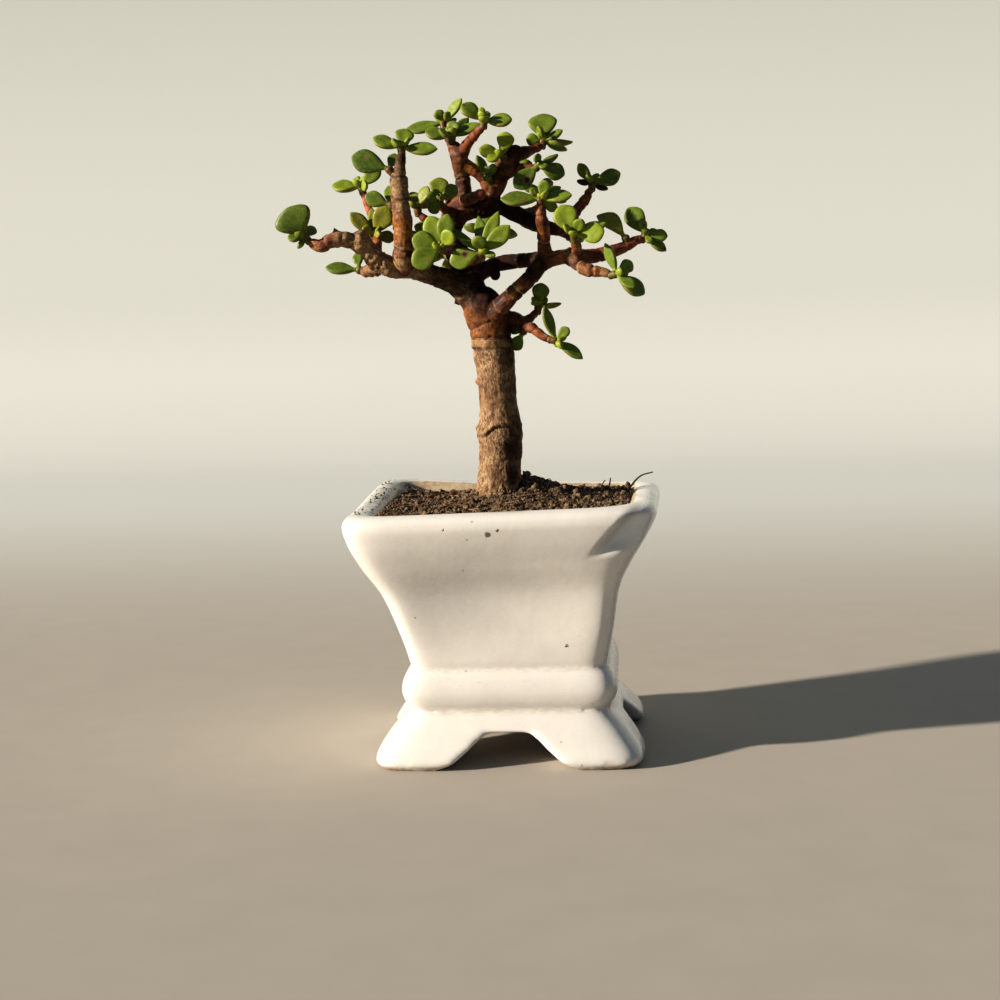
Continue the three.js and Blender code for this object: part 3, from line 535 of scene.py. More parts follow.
# Each limb is a run of places and radii. The first starts at the root end, in the soil.
LIMBS = table("""
trunk: -3.5 2 60 6.2, -3.5 2 70 7.6, -3.5 2 77.5 7.4, -3 2 87 6.6, -2.5 2 97 6.9, -3 1.5 107.5 5.8,
    -3.5 1 119.5 6.1, -4 1 124.5 6.2, -5.5 0.5 132 6.3, -7.5 0 138 6.4, -10.5 0 141.5 5.4;
left_limb: -9.5 0 139.5 4.6, -15 -2 144 3.7, -22.5 -5 147 3.1, -28 -8 148.5 2.8, -33 -10 149 3,
    -37.5 -12 152 3, -40 -13 155 2.7, -42.5 -14 157 3.3, -45 -15 157.5 2.3, -48 -16 158 2.4,
    -51 -17 157.5 2.3, -53.5 -18 156 2.1, -56 -18 157 1.5, -57.5 -18 158 1.2;
left_spur: -43 -6 148.5 1.4, -40.5 -7.5 148.5 2, -36 -11 150 2.4;
post: -30 -9.5 149 2.6, -29.5 -13 152.5 3, -29 -14 160.5 3, -29.5 -14 167.5 2.8, -30 -13 173.5 2.9,
    -30 -13 176 2.75, -29.8 -13 177.2 1.95, -29.5 -13 179.5 1.8, -29 -12 183.5 1.4;
leader: -10 1 139.5 5.3, -12.5 3 147.5 4.3, -15 5 154.5 3.6, -16.5 6 160 3.2, -15.5 7 165 4.2,
    -13.5 7 169 3.6;
up_branch: -13.5 7 167.5 3.1, -12.5 6 172 2.6, -12.5 5 177.5 2.4, -13 3 181 2.7, -13.5 2 184 2.6,
    -15 1 187.5 1.4;
top_left_twig: -14 4 184 1.9, -16.5 9 188.5 1.4, -18.5 12 193 1.1;
top_twig: -12.5 3 183 1.9, -10.5 0 186 1.7, -7.5 -4 188.5 1.5, -4.5 -7 191 1.2;
cross_twig: -12.5 3 181 2.1, -8.5 3 178.5 1.8, -5 4 175 2, -4.5 4 170.5 2;
stub: -13 5 169.5 1.9, -9 -1 170 1.8, -5 -6 171 1.5;
thick_branch: -12.5 7 167.5 3.4, -7.5 6 168.5 3.1, -4 5 171 2.9, -1.5 4 174.5 2.9, 0 3 178 2.8,
    2 2 180.5 2.8, 4.5 2 183.5 2.6, 5.5 2 185.5 2;
top_right_twig: 4 2 182.5 2.1, 7 4 183.5 1.9, 9.5 6 184.5 1.5, 12.5 8 186 1.2;
inner_twig: 0.5 2 177 2, 5 1 178.5 1.5, 8.5 0 178.5 1.4, 11 -1 178.5 1.1;
right_branch: -13 7 167.5 3.7, -7 7 167 3.1, -1 7 167.5 2.8, 4 6 165 2.6, 8.5 6 162.5 2.5, 13.5 6 160.5 2.3,
    19.5 6 159.5 1.8;
right_upper_twig: 18.5 6 159.5 1.7, 21 7 162 1.7, 22.5 8 165.5 1.6, 25 9 168.5 1.8, 27.5 9 172.5 1.2;
level_branch: -10 3 146 2.6, -3 5 149.5 2.4, 5 3 150.5 2.3, 13 -4 150.5 2.5;
diagonal_limb: -5 -1.5 132.5 3.2, -1 -5 136.5 2.8, 4.5 -7 141.5 2.5, 8 -7 144.5 2.6, 10.5 -7 147.5 2.6,
    13.5 -7 150.5 2.6;
right_limb: 11.5 -6 149.5 2.4, 18.5 -8 151 2.3, 23 -8 151 2.4, 27.5 -7 151 2.3, 32.5 -5 152 2,
    37 -3 153.5 1.8, 41 -2 155.5 1.5, 43 -1 156 1.2;
right_low_twig: 21 -9 150.5 2, 24.5 -12 147.5 2, 27 -13 146.5 2, 30.5 -14 146 1.5, 33.5 -15 145 1.2;
right_post: 13.5 -6 150.5 2.3, 13 -8 154.5 2, 13 -10 159 2.1, 12.5 -12 163.5 1.8, 12.5 -12 167 1.3;
front_twig: 23 -8 151 1.6, 23 -13 153.5 1.6, 22.5 -16 156 1.3;
bud_spike: -48.2 -16 158 1.1, -49 -16 159.8 0.75, -49.9 -16 161.7 0.4;
red_stub: -4 4 150 1.7, -3 2 147 1.7, -2.5 0 145 1.4;
hanging_twig: -2.5 2 133.5 2.8, 2 2 132.5 2.6, 5 0 131.5 2.2, 7 -2 130.5 1.9, 9.5 -4 129 1.5, 12 -5 127 1.3,
    14.5 -6 126 1.1;
hanging_fork: 6 -1 131.5 1.6, 8 1 133 1.3, 10 3 135 1.1;
young_twig: -38 -11.5 152 1.5, -38.5 -6 155.5 1.2, -39.5 -3 158 1.1;
left_upper_twig: -38 -11 153 1.6, -38.5 -3 160 1.3, -41 3 166 1.4, -42.5 5 169 1.2, -44 6 173.5 1;
front_mid_twig: -13 2 150.5 1.7, -9.5 -7 150.5 1.5, -5.5 -16 152 1.2;
front_left_twig: -15 4 154.5 1.7, -16 -6 154 1.4, -17 -16 154 1.2;
mid_upper_twig: -15 6 165.5 1.7, -17.5 2 166.5 1.5, -19 -2 168.5 1.2;
mid_left_twig: -16.5 6 162.5 1.6, -22 7 163 1.3, -25 8 164.5 1.3, -27 8 166.5 1;
back_limb: -9 1 140.5 3.4, -10 9 146 2.8, -10 17 151 2.4, -8 24 155 1.9, -7 30 160 1.3;
back_low_twig: -10 16 150.5 1.8, -15 24 152 1.5, -20 29 153 1.2;
back_left_limb: -22 -5 147 2.6, -25 4 150 2.2, -27 13 154 1.8, -28 20 158 1.3;
back_left_twig: -26 9 152 1.6, -32 14 158 1.4, -35 17 163 1.1;
back_right_limb: 3 6 165.5 2.3, 6 12 165 2, 10 18 167 1.6, 12 22 171 1.2;
back_right_twig: 7 13 165.5 1.5, 14 17 161 1.4, 20 20 158 1.1;
back_top_twig: -0.5 3 175.5 1.9, 1 9 177.5 1.5, 2.5 14 180 1.1;
back_upper_twig: -15 7 165 2, -17 11 168 1.5, -18 15 171 1.1
""")
# How red, how flaky and how young the bark is, from 0 to 1: at a limb's start and at its end.
BARK = table("""
trunk: 0.12 1 0, 0.75 0.05 0;
left_limb: 0.4 0.9 0, 0.3 0.75 0.1;
left_spur: 0.4 0.3 0.1, 0.3 0.6 0;
post: 0.9 0 0, 0 0.35 0;
leader: 0.8 0.3 0, 0.9 0.2 0;
up_branch: 0.95 0.15 0, 0.7 0.3 0;
top_twig: 0.9 0.2 0, 1 0.1 0.5;
thick_branch: 0.9 0.2 0, 0.9 0.3 0;
right_branch: 0.9 0.3 0, 0.9 0.15 0;
level_branch: 0.9 0.3 0, 0.8 0.3 0;
diagonal_limb: 0.8 0.3 0, 0.95 0.2 0;
right_limb: 0.6 0.35 0, 1 0.05 0.6;
right_low_twig: 0.75 0.2 0, 0.6 0.1 0.1;
right_post: 0.8 0.2 0, 0.9 0.1 0;
left_upper_twig: 0.6 0.2 0.6, 0.9 0 1;
young_twig: 0.6 0.1 0.3, 0.5 0 0.6;
red_stub: 1 0.1 0.3, 1 0.1 0
""")
TWIG_BARK = ((0.85, 0.2, 0), (0.95, 0.1, 0.3))
# Where the old leaf scars lie that the photo shows, along the trunk and the post.
OWN_SCARS = {"trunk": [64.3, 67.2, 72, 84], "post": [-6, 7.1, 13.4, 17.3, 21, 25.2, 29.2, 33]}
# Knobs, cankers and burrs, as places, reach and height, and the bark's tones, as places, reach and
# strength. The near-black spots are painted shade over the crown's core, the trunk's right side and
# under the limbs.
SPOTS = table("""
knob: -9.2 -2 97.5 3.2 1.1, 2.8 -2 99 3.5 0.6, -8.5 0 121 2.5 0.6, -3 -4.5 108 3.5 -0.5,
    -40.5 -14 151.5 3 0.6, -34.5 -13 148.5 2.2 0.7, -42.5 -16.5 157 2.6 1, -28.5 -13.5 151 2.6 1,
    -10 -4 139 3.4 0.5, -13 -2 165 3 0.9, -12 0 181.5 2.5 0.6, 3 -1 178 2.4 0.7, -41.9 -15 159.3 1.1 1.1,
    -46.5 -17 158.5 1.8 0.7, -29 -16 167.8 1.6 0.4, 5.5 1 185 2.2 0.9, 21 -9 152.5 2 0.6,
    -9.6 1 113.5 0.9 1.4, -9.8 0 125.2 1.8 0.5, -5 -5 125.5 1.8 0.4;
pale: -29.5 -14 151 3.2 0.9, -29.5 -15 172.3 4 0.65, -29 -16.5 167 1.8 0.9, -42 -15 157 4 0.95,
    -34 -12 149.5 3.5 0.8, -47 -16 158 3 0.85, -38.5 -14 152 3 0.75, -7 -5 98.4 2 0.95,
    -49.5 -16 161 1.6 0.9, 20 -9 151.5 2.6 0.7, 26.5 -13 147 2.2 0.6, 23 -13 153.5 2.4 0.7,
    13 -8 153.5 1.8 0.8, 13 -11 162.5 1.4 0.7, -13.5 3 183 2 0.7, -12 3 178 2.2 0.6, 4 -7.5 141 1.9 0.9,
    -16 2 175 1.8 0.5, 8 -2 130.5 2.4 0.7, 12.5 -5 127 1.5 0.7, 31 -14.5 145.8 2 0.7;
pink: -9.8 0.5 113.3 1.6 0.45, -53.5 -18 156.5 5 0.6;
amber: -29.5 -16.5 160 5.5 1, -13 -1 176 2.6 1, -9 1 179.5 2.4 0.9, -3 1 176 3 0.8, -13 2 185 1.8 0.7,
    25 8 169 2.2 0.9, 13 -12 158 2.6 0.6, 29 -14 146.5 3 0.8, 23 -10 149 2 0.8, 6 -8.5 143.5 2.4 0.8,
    -4 -4.5 130 4 0.6, -53 -18.5 157 2.4 0.5, -10 -3 128.8 3 0.8, -12 -3 134 4 0.6, 17 -9 151.5 2.4 0.7,
    10 -5 128.5 2 0.8, -34 -13 150 2 0.5, 22.8 -15 154.5 1.6 0.8;
dark: -6 -3 142 7.5 1, -11 1 152 7.5 1, -15 4 160 5 0.9, 0 1 151 8 1, 8 -3 151 6 0.9, 3 5 166 8 1,
    12 4 161 6 0.9, -8 6 169 5 0.9, -29 -14 181.5 2.6 0.9, 5 0 184.5 4.5 0.9, 0 0 177 3.5 0.6,
    10 -8 148 5 0.8, -16 -1 143.5 8 1, 2.5 -2 128 4 1, 0.5 -5.5 113 1.7 0.9, 2 -5 98 2.4 0.9,
    3.5 -2 92 3 0.7, 8 4 164 5 1, -5 6 166.5 4 1, -37 -12 147.5 2.2 0.7, 2 3 132 3.5 0.7, -20 -3 145 7 0.9,
    -37 -11 149 3 0.4, 1.5 -2 121 3.5 0.8, 3 -1 100 3 0.8, 3.5 0 112 3.5 0.7, 2.2 -4 93 4.2 0.9,
    2.5 -4 85 4 0.8
""")


def limb_samples():
    """Every limb's path in short steps with what the bark needs to know at each, and the limbs' skins."""
    rows, skins = [], []
    for number, (name, run) in enumerate(LIMBS.items()):
        run, on_trunk = np.array(run), name == "trunk"
        length = sum(math.dist(a[:3], b[:3]) for a, b in zip(run, run[1:]))
        path, places = smooth_path(run[:, :3], max(6, int(length / LIMB_STEP)))
        s = np.concatenate([[0], np.cumsum(np.linalg.norm(np.diff(path, axis=0), axis=1))])
        uneven = np.array([noise.noise(Vector((at / 2.6, 9.1 * number, 2.0))) for at in s])
        radii = np.interp(places, np.arange(len(run)), run[:, 3])
        radii = radii * (1 + (0.03 if on_trunk else 0.13) * uneven)
        if not on_trunk:
            radii = radii * (1 + 0.16 * bell(s / 2.2))
        ends = np.minimum(s[-1] - s, 1.2 * radii[-1]) / (1.2 * radii[-1])
        radii = radii * np.sqrt(np.clip(1 - (1 - ends) ** 2, 0.05, 1))
        skin, sides, ups = tube(path, radii, 24)
        skins.append(skin)
        scars = [1.5]
        while scars[-1] < s[-1] + 5:
            scars.append(scars[-1] + SCAR_STEP * rng.uniform(0.6, 1.6))
        scars = np.array(OWN_SCARS.get(name, scars))
        depths = np.array([1 if on_trunk else rng.uniform(0.15, 1.1) for _ in scars])
        first, last = np.array(BARK.get(name, TWIG_BARK))
        share = (limited((s - RED_FROM) / RED_OVER) if on_trunk else s / s[-1])[:, None]
        nearest = np.abs(scars - s[:, None]).argmin(1)
        apart = LIMBS_APART * number
        rows.append(np.column_stack([
            path, sides, ups, first * (1 - share) + last * share, radii, s + apart,
            scars[nearest] + apart, depths[nearest], np.full(len(s), on_trunk)]))
    return np.concatenate(rows), skins


def nearest_sample(points, rows):
    """For each point, the sample whose skin it is nearest to."""
    found = np.empty(len(points), int)
    centre, radius = rows[:, :3].astype(np.float32), rows[:, 12].astype(np.float32)
    for start in range(0, len(points), 4000):
        block = points[start:start + 4000].astype(np.float32)
        square = (block**2).sum(1)[:, None] - 2 * block @ centre.T + (centre**2).sum(1)
        found[start:start + 4000] = (np.sqrt(np.maximum(square, 0)) - radius).argmin(1)
    return rows[found]


def spots_at(points, tone):
    """How strongly a tone's round spots, ragged by noise, mark each point."""
    ragged = 1 + 0.45 * noise_at(points, 0.45, 3, 14.0)
    return np.max([strength * np.exp(-((np.linalg.norm(points - at, axis=1) * ragged / reach) ** 4))
                   for *at, reach, strength in SPOTS[tone]], axis=0)


def model_wood():
    rows, skins = limb_samples()
    mesh, points, edges = remeshed(joined(skins), WOOD_VOXEL)
    points = relax(points, edges, 3, 0.5, -0.52)
    x, y, z = points.T
    near = nearest_sample(points, rows)
    centre, side, up, bark = (near[:, i:i + 3] for i in (0, 3, 6, 9))
    radius, along, scar, depth, on_trunk = near[:, 12:].T
    off = points - centre
    around = np.stack([(off * side).sum(1), (off * up).sum(1)], 1)
    way = np.cross(side, up)
    rise = (off * way).sum(1)
    along = along + rise
    radius = np.maximum(radius, 0.8)
    grain = np.column_stack([around, along])
    out = off - way * rise[:, None]
    out /= np.maximum(np.linalg.norm(out, axis=1), 1e-6)[:, None]

    # each old leaf pair left a raised ring, slanted and uneven, with a fine crack beside it
    slant = 0.45 * (around[:, 0] * np.sin(7 * scar) + around[:, 1] * np.cos(5 * scar)) / radius
    ragged = along - scar + (1 + on_trunk) * slant + 0.6 * noise_at(grain, 0.5, 1, 7.0)
    ring = bell((ragged - 0.8) / 0.5)
    crack = bell(ragged / 0.22) * limited(depth * 1.3)
    segmented = np.where(on_trunk > 0, 0.8, np.clip(1.1 - 0.6 * bark[:, 1], 0.3, 1))
    edge = ring * (0.6 + 0.9 * noise_at(grain, 0.6, 1, 6.0)) * depth
    height = segmented * (0.16 * edge - 0.14 * crack - 0.26 * (bell(ragged / 0.6) * depth))

    # flaky bark is a fine net of lengthwise fibres that splits in places, smoother half way up the trunk
    flaky = bark[:, 1] * (1 - 0.6 * bell((z - SMOOTH_AT) / 8) * on_trunk)
    bent = grain + 0.9 * np.stack([noise_at(grain, 0.33, 1, seed) for seed in (21.0, 22.0, 23.0)], 1)
    plates = noise_at(bent * (1, 1, 0.35), 1.15, 1, 11.0)
    split = bell(plates / 0.10)
    fine = noise_at(bent * (1, 1, 0.4), 2.3, 1, 5.0)
    height += flaky * (0.14 * plates - 0.20 * split + 0.10 * fine) * np.clip(radius / 4, 0.35, 1)
    height += 0.09 * noise_at(points, 0.45, 1, 3.0) * radius / 2.5
    lumpy = 1 + 0.5 * noise_at(points, 0.8, 1, 1.0)
    for *spot, reach, swell in SPOTS["knob"]:
        bump = swell * bell(np.linalg.norm(points - spot, axis=1) / reach)
        height += bump * lumpy if swell > 0 else bump
    crusty = np.exp(-(((x + 37.5) / 4) ** 2) - ((z - 150.5) / 4.5) ** 2) * (y < -6)
    height += crusty * 0.9 * noise_at(points, 0.75, 3, 9.0)

    # the lens of an old branch's scar over a notch, and the root flare's low ribs
    facing = limited((1.5 - x) / 3) * (y < 2) * on_trunk
    over_notch = z - np.minimum(96.2 + 0.95 * np.abs(x + 7), 99.3) + 0.25 * noise_at(points, 0.8, 1, 4.0)
    height += (0.75 * bell((over_notch - 1.2) / 0.9) - 0.35 * bell(over_notch / 0.4)) * facing
    turn = np.arctan2(around[:, 1], around[:, 0])
    height += limited((92 - z) / 16) * on_trunk * 0.25 * np.sin(5 * turn + 1)

    moved = points + out * height[:, None]
    reshape(mesh, moved)
    young = np.maximum(bark[:, 2], spots_at(moved, "pink"))
    collar = 0.65 * on_trunk * eased(moved[:, 2], COLLAR[0], COLLAR[0] + 1)
    collar = collar * eased(moved[:, 2], COLLAR[1], COLLAR[1] - 1)
    pale = 0.75 * (1 - on_trunk) * (ring * depth) * segmented * (1 - bark[:, 2])
    pale = np.maximum.reduce([pale, collar, spots_at(moved, "pale")])
    notch = bell(over_notch / 0.42) * facing
    crack = np.maximum.reduce([crack * segmented, split * flaky * 0.6, 0.85 * notch])
    # the tone's middle number is painted shade, near-black where the crown's core, the trunk's right side and
    # the limbs' undersides lie in shade
    piece(dressed("wood_bark", mesh, bark_look(), {
        "grain": bent, "bark": np.column_stack([bark[:, 0], np.maximum(flaky, crusty), young]),
        "tone": np.column_stack([pale, spots_at(moved, "dark"), crack]), "amber": spots_at(moved, "amber"),
    }), "bark", "wood")

# ---------------------------------------------------------------- leaves

# Each shoot: its seat, its axis, how old (from 0, lime, to 1, dark) and how olive its leaves are, and
# its leaves, as the way to the tip, the width and the face.
SHOOTS = table("""
far_left: -57.5 -18 158, -0.5 -0.3 0.8, 0.7 0, -5.5 -3 9.5 12 f, -5.5 -3 0.5 3.8 uf, -3 -1 -2.5 3.2 u,
    1.5 4 4 3.5 f;
left_upper: -44 6 173.5, -0.2 -0.2 1, 0.35 0, -9.5 -1 2 6 uf, -3.5 4 4 4 f, 6 -2 7.5 5 f, 2 -5 1.5 3.5 f;
post_leaf: -32 -13 177.5, -0.6 -0.2 0.7, 0.6 0, -12 -1 5 7.2 f, 0.5 4 6 3.5 f;
post_top: -29 -12 183.5, 0 -0.2 1, 0.35 0, -8.5 -1 4.5 5.2 uf, 1.5 1 7 6 f, -2 -4 3 4 uf, 11 -1 0.5 5.5 uf,
    0 5 3 3.5 u;
top_left: -18.5 12 193, -0.1 0.1 1, 0.4 0, -12 -1 -0.5 5.5 uf, -2 -2 5 3.5 f, 6 -1 8.5 4 fl, 2.5 6 3 4.5 u;
top_front: -15 1 187.5, 0 -0.2 1, 0.5 0, -8 -2 3 5.5 uf, -3 -5 2.5 4.5 uf, 1 -1 6 4.5 uf, 5 5 7.5 3.5 f,
    9 0 5 4.5 uf;
top: -4.5 -7 191, 0.1 -0.1 1, 0.35 0, -6.5 -0.5 6.5 5.5 uf, 8.8 -1 1.3 6.2 uf, -0.5 -1 5.5 2.2 f,
    0.5 5 4 3.5 u, 0.5 -5 2 3.5 u;
top_mid: 1 -0.5 181.5, -0.2 -0.5 0.9, 0.15 0, -7.5 -3 3 4.2 f, 1 -1 8 5.5 f, -5 -4 -0.5 3.5 uf;
top_fork: -3.5 2 175, -0.3 -0.7 0.6, 0.6 0, -4 -1 8 3.5 fr, 1.5 -3 5 2.8 f;
top_right: 12.5 8 186, 0.3 -0.3 1, 0.5 0, 0.3 2 9.8 9.2 f, -1 -4 5.5 2.8 fl, 6.5 -3 4 3.8 uf,
    9.5 -1 0.5 5 u, -5 -1 2 4 f, 7.5 4 -1.5 5 u;
inner_right: 11 -1 178.5, 0.3 -0.6 0.3, 0.75 0, 8.5 0 -2.5 5.5 f, -7 -1 -6 6 f, 6.5 3 4 3.8 u;
right_post: 12.5 -12 167, 0 -0.4 0.9, 0.4 0, -12 -2 1.5 6 uf, 2 -3 6.5 4 f, 6 4 5 3.5 f, 9.5 -2 2 5 uf,
    -3 -1 4.5 2.8 uf, 5 4 -2 3.5 f;
right_upper: 27.5 9 172.5, 0.1 -0.2 1, 0.6 0, -4 -1 7.5 4.5 fl, 9 -1 4.2 5.4 f, -4.5 2 2.5 4 u,
    5 2 -0.5 3.5 u;
right_front: 22.5 -16 156, 0 -0.6 0.8, 0.3 0, -4 0 10 7.5 f, -3 -4 4 2.8 uf, 2.5 -5 5.5 3.8 f,
    9.5 2 4.5 5 uf, 9 -4 2 6.3 f;
arch_leaf: 38 -3 155.2, -0.3 -0.4 1, 0.3 0.6, -9 -2 8 5.2 f;
far_right: 43 -1 156, 0.5 -0.3 0.7, 0.55 0, -4.5 1 9.5 6.5 f, -0.5 -3 6 2.8 f, 7.5 -1 0.5 4 f, 7 -1 -4 4 uf,
    2.5 -4 -1.5 2.4 uf;
right_low: 33.5 -15 145, 0.8 -0.3 0.2, 0.45 0, -2 -1 9.5 4 fl, 6 2 3.8 4.4 f, 6.5 -5 -4 4 uf,
    9.5 -1 -6 6.5 uf;
front_mid: -5.5 -16 152, 0.1 -0.7 0.7, 0.35 0, 5.5 1 13 4.2 f, 9 -2 8.5 5.5 f, -0.5 -5 5.5 4.8 f,
    -9.5 -1 -2 6.5 f, 4.5 -4 -0.5 2.8 uf, -9 1 8.5 3 uf, -1 5 12 4 f;
front_left: -17 -16 154, -0.1 -0.8 0.6, 0.35 0, -4 -1 10 6.2 f, 2 -2 10.5 5.5 f, -9 -2 3.5 6.5 f,
    3.5 -6 5 5 f, -9 -3 -4.5 7 f;
mid_upper: -19 -2 168.5, 0 -0.5 0.6, 0.6 0.4, 0 1 8 6 f, 5.5 -1 5 4.5 f, -4 -3 2 4 f, -2.5 -4 -3 4 f;
mid_left: -27 8 166.5, -0.1 -0.3 1, 0.5 0.5, 3.5 -1 8 5 fl, -2.5 2 6.5 4 f, 3 4 3.5 3.5 f;
left_young: -39.5 -3 158, -0.1 -0.3 1, 0.3 1, -7 -2 8.5 4.5 f, -1 2.5 10 3.5 f, 5 -2 10 6.5 f,
    -3 -3 4 3.5 f, 2.5 -5 1.5 2.4 f, 6 3 0.5 4 f;
post_leaf_low: -31.5 -13 167.5, -0.9 0.2 0.3, 0.55 0, -9 0 3.5 5 f, -2.5 5 6.5 3.5 f;
left_low: -43 -6 148.5, -0.8 -0.1 0.3, 0.8 0, -11.5 -1 1.5 4.8 uf, -1.5 2 6 3.5 f;
hanging_up: 10 3 135, 0.2 -0.2 1, 0.5 0, 1.5 -1 8.5 5.5 f, 7.5 -1 2 3.2 u, -1.5 4 3.5 3 f;
hanging_tip: 14.5 -6 126, 0.8 -0.2 -0.1, 0.45 0, -2 -1 10.5 4 fr, 5.5 -2 3.5 3.5 f, 9.5 -1 -6 4.2 uf,
    2 4 -2 3 u;
hanging_back: 6 0 129.5, -0.4 0.5 -0.7, 0.7 0, -5 4 0.5 3.2 f, -4 2 -6.5 4.5 f
""")
# Shoots that grow in crossed pairs: seat, axis, and roll and size.
PAIRED_SHOOTS = table("""
back_mid: -7 30 160, 0.1 0.5 0.9, 20 9.5;
back_low: -20 29 153, -0.5 0.6 0.5, 60 8.5;
back_left: -28 20 158, -0.1 0.6 0.8, 10 8;
back_left_high: -35 17 163, -0.4 0.4 0.9, 45 7.5;
back_right: 12 22 171, 0.2 0.5 0.9, 30 8.5;
back_right_low: 20 20 158, 0.7 0.5 0.2, 80 8;
back_top: 2.5 14 180, 0.1 0.6 0.7, 0 7;
back_upper: -18 15 171, -0.2 0.6 0.8, 50 7
""")
# Each pair's reach, tilt and width, and the age and olive of all.
PAIRS, PAIRED_TONE = [(1, 78, 0.56), (0.82, 58, 0.58), (0.5, 30, 0.6)], (0.55, 0)
FACES = {
    "u": (0, 0, 1), "f": (0, -1, 0), "uf": (0, -0.7, 0.7), "fl": (-0.7, -0.7, 0), "fr": (0.7, -0.7, 0),
}
# Scars on single leaves, two of which are dried out whole: leaf, place along, place across, and radius in
# millimetres.
SCARS = table("""
inner_right: 1 0.5 -0.3 1.1, 1 0.68 0.15 0.7;
front_mid: 3 0.45 0.25 1;
post_leaf: 0 0.62 0.45 0.5;
hanging_tip: 0 0.85 0.2 0.6;
right_post: 0 0.4 -0.5 0.5, 0 0.75 0.9 0.8, 0 0.55 0.95 0.6;
far_right: 3 0.92 0 0.9;
front_left: 4 0.5 -0.3 0.4;
top: 0 0.9 0 0.6;
right_upper: 2 0.6 0 9, 3 0.6 0 9
""")
SINGLE = ("arch_leaf", "post_leaf", "post_leaf_low", "left_low", "hanging_back")
STEM_RADII = [1.0, 1.15, 1.25, 1.2, 1.2, 1.25, 1.3, 1.3, 1.25, 1.1, 0.8, 0.4]
draw_seed = 4711


def draw():
    """The same run of random numbers that placed the CAD's paired leaves."""
    global draw_seed
    draw_seed = draw_seed * 16807 % 2147483647
    return draw_seed / 2147483647


def turned(v, axis, angle):
    """A vector turned about an axis."""
    return np.array(Matrix.Rotation(angle, 3, Vector(axis)) @ Vector(v))


def paired_leaves(axis, roll, size):
    """The leaves of a shoot that grows in crossed pairs."""
    up = unit(axis)
    side = unit(np.cross((0, 0, 1), up))
    leaves = []
    for pair, (reach, tilt, width) in enumerate(PAIRS):
        for half in (0, 180):
            length = reach * size * (1 + 0.12 * (2 * draw() - 1))
            turn = math.radians(roll + half + 90 * pair + 20 * (draw() - 0.5))
            bent = math.radians(tilt + 12 * (draw() - 0.5))
            way = (turned(side, up, turn) * math.sin(bent) + up * math.cos(bent)) * length
            leaves.append((*way, max(2.6, width * length), tuple(axis)))
    return leaves


def leaf(root, tip, width, face, twist, sway):
    """One fleshy leaf with thick rounded edges: a broad one is narrow at its root, a slim one pointed."""
    length = np.linalg.norm(tip - root)
    forward = unit(tip - root)
    normal = np.array(face, float)
    normal = unit(normal - forward * normal.dot(forward))
    across = np.cross(forward, normal)
    t = (1 - np.cos(np.linspace(0.04, math.pi - 0.02, ALONG))) / 2
    lens = np.sin(math.pi * t)
    neck = min(0.75, width / 4)
    slim = min(max((BROAD_LEAF - width / length) / (BROAD_LEAF - SLIM_LEAF), 0), 1)
    swell = np.sin(math.pi * t ** (1.45 - 0.35 * slim)) ** (0.62 + 0.25 * slim * t)
    half_width = np.maximum(width / 2 * swell, neck * (t < 0.4))
    thickness = min(1.25 + 0.19 * width, 0.8 * width)
    half_thick = np.maximum(thickness / 2 * np.sin(math.pi * t**0.9) ** 0.52, neck * 0.8 * (t < 0.4))
    angle = np.linspace(0, 2 * math.pi, ROUND, endpoint=False)
    c, s = np.cos(angle), np.sin(angle)
    c, s = np.sign(c) * np.abs(c) ** 0.92, np.sign(s) * np.abs(s) ** 0.9
    x = half_width[:, None] * c * (1 + 0.02 * np.sin(3 * math.pi * t + 9 * sway)[:, None] * np.abs(c))
    z = half_thick[:, None] * s + 0.12 * width * (c**2) * (lens**2)[:, None]
    z -= (s > 0) * 0.16 * half_thick[:, None] * bell(c / 0.22) * lens[:, None]
    z -= (LEAF_DIP * length * lens)[:, None]
    spin = (twist * t)[:, None]
    x, z = x * np.cos(spin) - z * np.sin(spin), x * np.sin(spin) + z * np.cos(spin)
    x = x + (sway * length * lens)[:, None]
    points = root + forward * (t * length)[:, None, None] + across * x[..., None] + normal * z[..., None]
    skin, faces = closed_rings(points)
    return skin, faces, np.append(np.repeat(t, ROUND), (0, 1)), *(
        np.append(np.tile(part, ALONG), (0, 0)) for part in (c, s))


def leaf_rows(name, leaves, up, random):
    """A shoot's leaves, numbered, and the buds in its heart: way, width, face and where each starts."""
    rows = [(i, row, LEAF_ROOT) for i, row in enumerate(leaves)]
    if name not in SINGLE:
        start_turn = random.uniform(0, 3)
        for i in range(4):
            inner, half = divmod(i, 2)
            out = turned(unit(np.cross(up, (0.3, 0.2, 0.9))), up, inner * 1.57 + half * 3.14 + start_turn)
            way = up * (2.9 - 0.9 * inner) + out * (2.6 - 1.9 * inner)
            rows.append((-1, (*(way + up * STEM_RISE), 3.0 - 1.3 * inner, tuple(up - 0.5 * out)), 0.2))
    return rows


